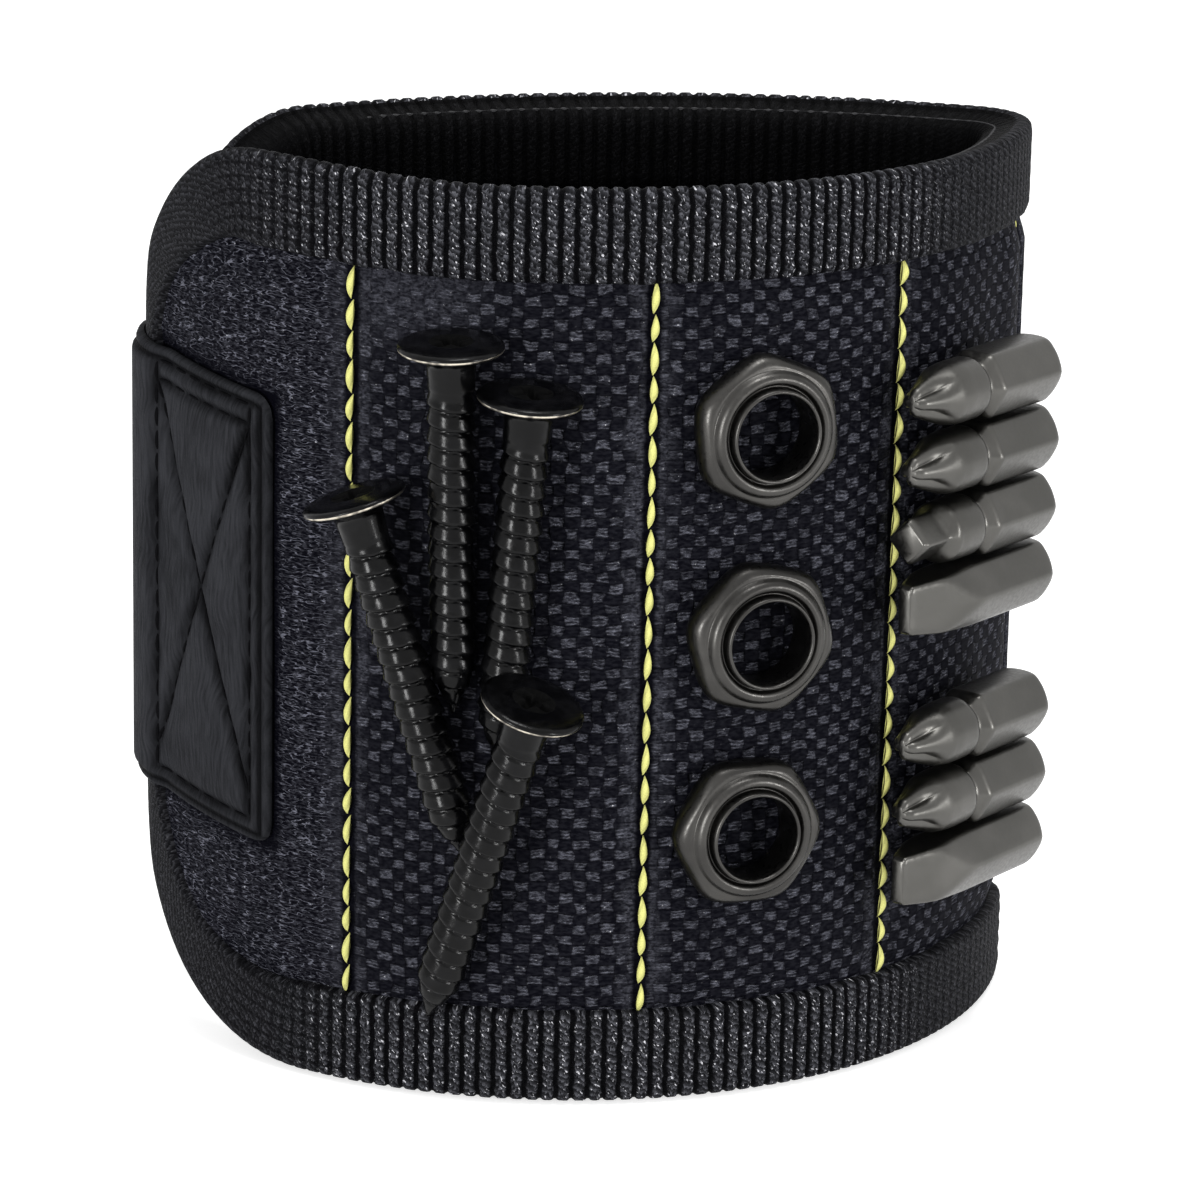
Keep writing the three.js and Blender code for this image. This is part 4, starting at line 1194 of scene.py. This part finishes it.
def wall_matrix(along, offset, height):
    """Local X along the wall, Y out of it, Z down, as the held pieces stand in the model."""
    angle = wall_frame(along)[3]
    out = Vector((math.cos(angle), math.sin(angle), 0))
    down = Vector((0, 0, -1))
    basis = Matrix((out.cross(down), out, down)).transposed().to_4x4()
    return Matrix.Translation(on_wall(along, offset, height)) @ basis


SCREW_LENGTH = 36.0
HEAD_RADIUS = 4.9
SHANK_RADIUS = 2.15
CORE_STEP = 0.25
THREAD_PITCH = 1.8
THREAD_FROM = 4.2
THREAD_FLARE = 0.5
THREAD_NOTCH = 0.4
SCREW_POINT = 5.5
SCREW_SIDES = 48
DRIVE_RADII = (0.12, 0.35, 0.6, 0.85, 1.1, 1.35, 1.6, 1.85, 2.05, 2.3, 2.7, 3.2, 3.7)
DRIVE_CROWN = 0.1
RECESS_RADIUS = 1.9
RECESS_DEPTH = 1.3
BLACK, RIM, RECESS = 0, 1, 2
# From the drive face round the rim to the neck, as (depth, radius, material)
HEAD_PROFILE = (
    (0.0, 4.0, BLACK), (0.04, 4.4, BLACK), (0.14, 4.72, BLACK), (0.3, 4.88, BLACK), (0.46, 4.9, RIM),
    (0.6, 4.87, RIM), (0.72, 4.76, BLACK), (0.86, 4.3, BLACK), (1.05, 3.55, BLACK), (1.32, 2.95, BLACK),
    (1.6, 2.55, BLACK), (1.9, 2.32, BLACK),
)
NECK_FROM = 2.2
NECK_RADII = (2.3, 2.2)
THREAD_FULL = 5.6


def screw_radius(down, turn):
    """Radius of the screw at a depth below the top of its head, with its thread as a spiral notch."""
    if down < THREAD_FROM:
        return lerp(*NECK_RADII, smooth(down, HEAD_PROFILE[-1][0], THREAD_FROM))
    taper = 1 - smooth(down, SCREW_LENGTH - SCREW_POINT, SCREW_LENGTH + 1.2) ** 1.2
    phase = ((down - THREAD_FROM) / THREAD_PITCH - turn / TAU) % 1.0
    notch = THREAD_NOTCH * bell(phase - 0.5, 0.085)
    flare = THREAD_FLARE * ((phase + 0.5) % 1.0)
    fade = smooth(down, THREAD_FROM, THREAD_FULL)
    return max((SHANK_RADIUS - CORE_STEP * fade + flare * fade - notch * fade) * taper, 0.02)


def drive_depth(x, y, radius):
    """Depth of the head's crowned face with its cross recess."""
    inside = (1 - smooth(min(abs(x), abs(y)), 0.34, 0.56)) * (1 - smooth(radius, 1.5, 1.95))
    crown = DRIVE_CROWN * (1 - (radius / HEAD_RADIUS) ** 2)
    return RECESS_DEPTH * inside * (1 - radius / 3.4) - crown


def screw_object(name):
    """Screw with the top of its head at the origin and its point along -Z."""
    rings = []
    materials = []
    for radius in DRIVE_RADII:
        face = round_points(SCREW_SIDES, lambda turn: radius)
        rings.append([(x, y, -drive_depth(x, y, radius)) for x, y in face])
        materials.append(RECESS if radius < RECESS_RADIUS else BLACK)
    for down, radius, material in HEAD_PROFILE:
        rings.append([(x, y, -down) for x, y in round_points(SCREW_SIDES, lambda turn: radius)])
        materials.append(material)
    for down in spread(NECK_FROM, SCREW_LENGTH, THREAD_PITCH / 10):
        section = round_points(SCREW_SIDES, lambda turn: screw_radius(down, turn))
        rings.append([(x, y, -down) for x, y in section])
        materials.append(BLACK)
    return turned_object(name, rings, [black_finish, rim_finish, recess_finish], materials)


# Shares of the pocket and of the band's height, lean in degrees, how far the head is lifted in shank
# widths, and how far the axis stands off at the tip in shank radii
SCREW_PLACES = (
    ("screw_1", 0.39, 0.846, 0.2, 0.0, 0.8),
    ("screw_2", 0.62, 0.796, 4.4, 0.0, 0.8),
    ("screw_3", 0.109, 0.676, -15.4, 0.175, 1.3),
    ("screw_4", 0.649, 0.479, 16.3, 0.87, 0.7),
)
for number, (node, across, up, lean, raised, tip_share) in enumerate(SCREW_PLACES):
    angle = math.radians(lean)
    along = pocket_place(0, across)
    height = up * BAND_HEIGHT
    head = on_wall(along, SEAT + HEAD_RADIUS + raised * 2 * SHANK_RADIUS, height)
    tip = on_wall(along - SCREW_LENGTH * math.sin(angle), SEAT + SHANK_RADIUS * tip_share,
                  height - SCREW_LENGTH * math.cos(angle))
    screw = screw_object("held_" + node)
    turn = Vector((0, 0, -1)).rotation_difference(tip - head).to_matrix().to_4x4()
    spin = Matrix.Rotation(0.6 + 1.1 * number, 4, "Z")
    screw.data.transform(Matrix.Translation(head) @ turn @ spin)
    carry(screw, node, "black_steel", node)


NUT_FLAT = 6.9
NUT_ROUND = 7.35
NUT_SIDES = 120
NUT_PRESS = (5.9, 7.2)
SIXTH = math.pi / 3
# Round the nut's section as (radius, height): base, flats, ring, lip, bore with its thread
NUT_PROFILE = (
    (4.0, 0.25), (6.3, 0.2), (7.0, 0.35), (7.28, 0.8), (7.35, 1.4), (7.28, 2.0), (7.08, 2.48), (6.8, 2.8),
    (6.5, 2.97), (6.25, 3.04), (6.08, 3.0), (5.98, 3.1), (5.85, 3.42), (5.6, 3.72), (5.3, 3.84), (5.0, 3.8),
    (4.82, 3.6), (4.72, 3.3), (4.64, 3.22), (4.56, 3.3), (4.5, 3.7), (4.42, 4.15), (4.28, 4.36), (4.12, 4.3),
    (4.02, 4.0), (4.0, 3.6), (3.92, 3.3), (4.0, 2.9), (3.92, 2.5), (4.0, 2.1), (3.92, 1.7), (4.0, 1.3),
    (3.92, 0.9), (4.0, 0.5), (4.0, 0.25),
)


def nut_radius(radius, turn):
    """Radius of the nut's section pressed into a rounded hexagon away from its ring."""
    hexagon = NUT_FLAT / math.cos((turn + SIXTH / 2) % SIXTH - SIXTH / 2)
    limit = soft_least(hexagon, NUT_ROUND, 4.0) + 0.1
    return lerp(radius, radius * limit / NUT_ROUND, smooth(radius, *NUT_PRESS))


def nut_object(name):
    """Rounded hexagon with a raised ring and a lip round its bore, standing on its base along +Y."""
    rings = []
    for radius, height in NUT_PROFILE:
        section = round_points(NUT_SIDES, lambda turn: nut_radius(radius, turn))
        rings.append([(x, height, z) for x, z in section])
    return turned_object(name, rings, [nut_finish], caps=False)


# Shares of the pocket and of the band's height, and the angle that the nut is rolled to
for node, across, up, roll in (
    ("nut_upper", 0.383, 0.741, 0.12), ("nut_middle", 0.381, 0.517, 0.3), ("nut_lower", 0.351, 0.303, 0.5),
):
    nut = nut_object("held_" + node)
    place = wall_matrix(pocket_place(1, across), SEAT, up * BAND_HEIGHT)
    nut.data.transform(place @ Matrix.Rotation(roll, 4, "Y"))
    carry(nut, node, "gun_metal", node)

BIT_LENGTH = 21.0
BIT_FLAT = 3.175
BIT_CORNER = BIT_FLAT * 2 / math.sqrt(3)
BIT_END_ROUND = 2.4
BIT_END_RADIUS = 2.3
NECK_END = 10.5
BODY_END = NECK_END - 1.6
POINT_END = BODY_END - 4.0
NECK_DIP = 0.75
BODY_RADIUS = 3.02
SQUARE_HALF = 1.7
SQUARE_BASE_RADIUS = 2.95
CROSS_TIP_RADIUS = 1.05
CROSS_BASE_RADIUS = 2.9
BLADE_LENGTH = 9.0
BLADE_HALF_WIDTH = 2.35
BLADE_HALF_THICKNESS = 0.7
BIT_SIDES = 72
BIT_STEP = 0.35
# Places near both ends of a bit, where its edges turn
END_PLACES = (0, 0.1, 0.25, 0.45)


def polygon_radius(turn, corners, flat, keep, sharp):
    """Radius of a regular polygon with soft corners, cut off at a share of their reach."""
    part = TAU / corners
    corner_radius = flat / math.cos(part / 2)
    return soft_least(flat / math.cos(turn % part - part / 2), corner_radius * keep, sharp)


def bit_section(kind, place, turn):
    """Radius of a bit at a distance from its tip."""
    from_shank = BIT_LENGTH - place
    end_round = math.sqrt(max(0.0, 1 - max(0.0, 1 - from_shank / BIT_END_ROUND) ** 2))
    turned_end = lerp(BIT_END_RADIUS, BIT_CORNER + 0.4, end_round)
    flank = soft_least(polygon_radius(turn, 6, BIT_FLAT, 0.975, 4.5), turned_end, 8.0)
    if kind == "slotted":
        ground = min(place / BLADE_LENGTH, 1.0)
        thick = lerp(BLADE_HALF_THICKNESS, BIT_FLAT * 1.2, ground) / max(abs(math.cos(turn)), 1e-3)
        wide = lerp(BLADE_HALF_WIDTH, BIT_FLAT * 1.02, ground) / max(abs(math.sin(turn)), 1e-3)
        blade = soft_least(thick, wide, 6.0)
        return soft_least(flank, blade, 5.0) * (0.9 + 0.1 * smooth(place, 0.0, 0.4))
    if place > NECK_END:
        return flank
    if place > BODY_END:
        share = (place - BODY_END) / (NECK_END - BODY_END)
        return lerp(BODY_RADIUS, flank, smooth(share, 0.3, 1.0)) - NECK_DIP * math.sin(math.pi * share)
    if place > POINT_END:
        return BODY_RADIUS - 0.12 * smooth(place, POINT_END + 1.4, POINT_END)
    if kind == "square":
        square = polygon_radius(turn, 4, SQUARE_HALF, 0.96, 8.0)
        widened = lerp(square, SQUARE_BASE_RADIUS, smooth(place, POINT_END - 1.3, POINT_END))
        return widened * (0.86 + 0.14 * smooth(place, 0.0, 0.6))
    taper = lerp(CROSS_TIP_RADIUS, CROSS_BASE_RADIUS, (place / POINT_END) ** 0.85)
    wing = abs(math.cos(2 * turn)) ** 0.9
    flute = 1 - (1 - smooth(place, POINT_END * 0.35, POINT_END)) * 0.42 * (1 - wing)
    return taper * flute * (0.7 + 0.3 * smooth(place, 0.0, 0.5))


def bit_object(name, kind):
    """Driver bit along X with its tip at -X, two flats level."""
    places = [*END_PLACES, *spread(0.7, BIT_LENGTH - 0.7, BIT_STEP)]
    places += [BIT_LENGTH - place for place in reversed(END_PLACES)]
    rings = []
    for place in places:
        section = round_points(BIT_SIDES, lambda turn: bit_section(kind, place, turn))
        rings.append([(place - BIT_LENGTH / 2, y, z) for y, z in section])
    made = turned_object(name, rings, [bit_finish])
    bevel_ends = made.modifiers.new("soft_ends", "BEVEL")
    bevel_ends.width = 0.15 * MM
    bevel_ends.limit_method = "ANGLE"
    bevel_ends.angle_limit = math.radians(50)
    return made


BIT_PITCH = 2 * BIT_FLAT + 0.3
# Place of the top bit as a share of the band's height, share of the pocket, and the kinds downwards
BIT_STACKS = (
    (0.76, 0.229, ("phillips", "phillips", "square", "slotted")),
    (0.38, 0.24, ("phillips", "phillips", "slotted")),
)
number = 0
for top, across, kinds in BIT_STACKS:
    for row, kind in enumerate(kinds):
        number += 1
        bit = bit_object(f"held_bit_{number}", kind)
        height = top * BAND_HEIGHT - row * BIT_PITCH
        bit.data.transform(wall_matrix(pocket_place(2, across), SEAT + BIT_CORNER, height))
        carry(bit, f"bit_{number}", "bit_steel", f"bit_{number}")

# Pieces of the model that stay inside the wall
for node, shown in frame["nodes"].items():
    for start, finish in (("magnet", magnet_finish), ("foam_core", foam_finish)):
        if node.startswith(start):
            shown.data.materials.clear()
            shown.data.materials.append(finish)


# Floor, light and camera

FLOOR_REACH = 2.0
FLOOR_DROP = 0.0003
FLOOR_GLOW = 0.65
WORLD_LIGHT = 0.6


def by_ray(graph, low, high):
    """A number that is high for rays from the camera, in reflections and through glass, and else low."""
    seen, *others = (
        graph.add("LightPath", ray) for ray in ("Is Camera Ray", "Is Glossy Ray", "Is Transmission Ray"))
    for ray in others:
        seen = seen.maximum(ray)
    return graph.remap(seen, 0.0, 1.0, low, high, soft=False)


def white_floor():
    """Pale floor that shows as white and keeps the object's soft shadow."""
    reach = FLOOR_REACH
    corners = [(-reach, -reach, 0), (reach, -reach, 0), (reach, reach, 0), (-reach, reach, 0)]
    mesh = bpy.data.meshes.new("floor")
    mesh.from_pydata(corners, [], [(0, 1, 2, 3)])
    floor = bpy.data.objects.new("floor", mesh)
    bpy.context.scene.collection.objects.link(floor)
    floor.location.z = -FLOOR_DROP
    finish = Finish("pale_floor", (0.8, 0.8, 0.8), 0.9, specular=0.0)
    finish.set("Emission Color", (1, 1, 1, 1))
    finish.set("Emission Strength", by_ray(finish, 0.0, FLOOR_GLOW))
    mesh.materials.append(finish.material)


def pale_world():
    """White to the camera and in reflections, and a plain grey light on everything else."""
    world = bpy.data.worlds.new("studio")
    bpy.context.scene.world = world
    world.use_nodes = True
    graph = Graph(world.node_tree)
    background = world.node_tree.nodes["Background"]
    background.inputs["Color"].default_value = (1, 1, 1, 1)
    graph.feed(background.inputs["Strength"], by_ray(graph, WORLD_LIGHT, 1.0))


AIM = Vector((0, 0, 0.045))


def area_light(name, place, width, height, power):
    data = bpy.data.lights.new(name, "AREA")
    data.shape = "RECTANGLE"
    data.size = width
    data.size_y = height
    data.energy = power
    lamp = bpy.data.objects.new(name, data)
    lamp.location = place
    lamp.rotation_mode = "QUATERNION"
    lamp.rotation_quaternion = (AIM - Vector(place)).to_track_quat("-Z", "Y")
    bpy.context.scene.collection.objects.link(lamp)


CAMERA_PLACE = Vector((-93.8, -495.0, 182.6))
CAMERA_TARGET = Vector((0.2, -6.1, 42.0))
CAMERA_ROLL = 0.02
CAMERA_LENS = 159.46
CAMERA_SENSOR = 36


def photo_camera():
    data = bpy.data.cameras.new("camera")
    data.lens = CAMERA_LENS
    data.sensor_width = CAMERA_SENSOR
    camera = bpy.data.objects.new("camera", data)
    bpy.context.scene.collection.objects.link(camera)
    ahead = (CAMERA_TARGET - CAMERA_PLACE).normalized()
    level = ahead.cross(Vector((0, 0, 1))).normalized()
    above = level.cross(ahead)
    right = math.cos(CAMERA_ROLL) * level + math.sin(CAMERA_ROLL) * above
    up = math.cos(CAMERA_ROLL) * above - math.sin(CAMERA_ROLL) * level
    turn = Matrix((right, up, -ahead)).transposed().to_4x4()
    camera.matrix_world = Matrix.Translation((CAMERA_PLACE + SHIFT) * MM) @ turn
    bpy.context.scene.camera = camera


white_floor()
pale_world()
area_light("key_left", (-0.45, -0.5, 0.13), 0.12, 0.22, 2.3)
area_light("top", (0.05, -0.12, 0.7), 0.24, 0.2, 1.7)
area_light("fill_right", (0.5, -0.5, 0.13), 0.1, 0.22, 1.6)
photo_camera()

bpy.context.scene.view_settings.view_transform = "Standard"
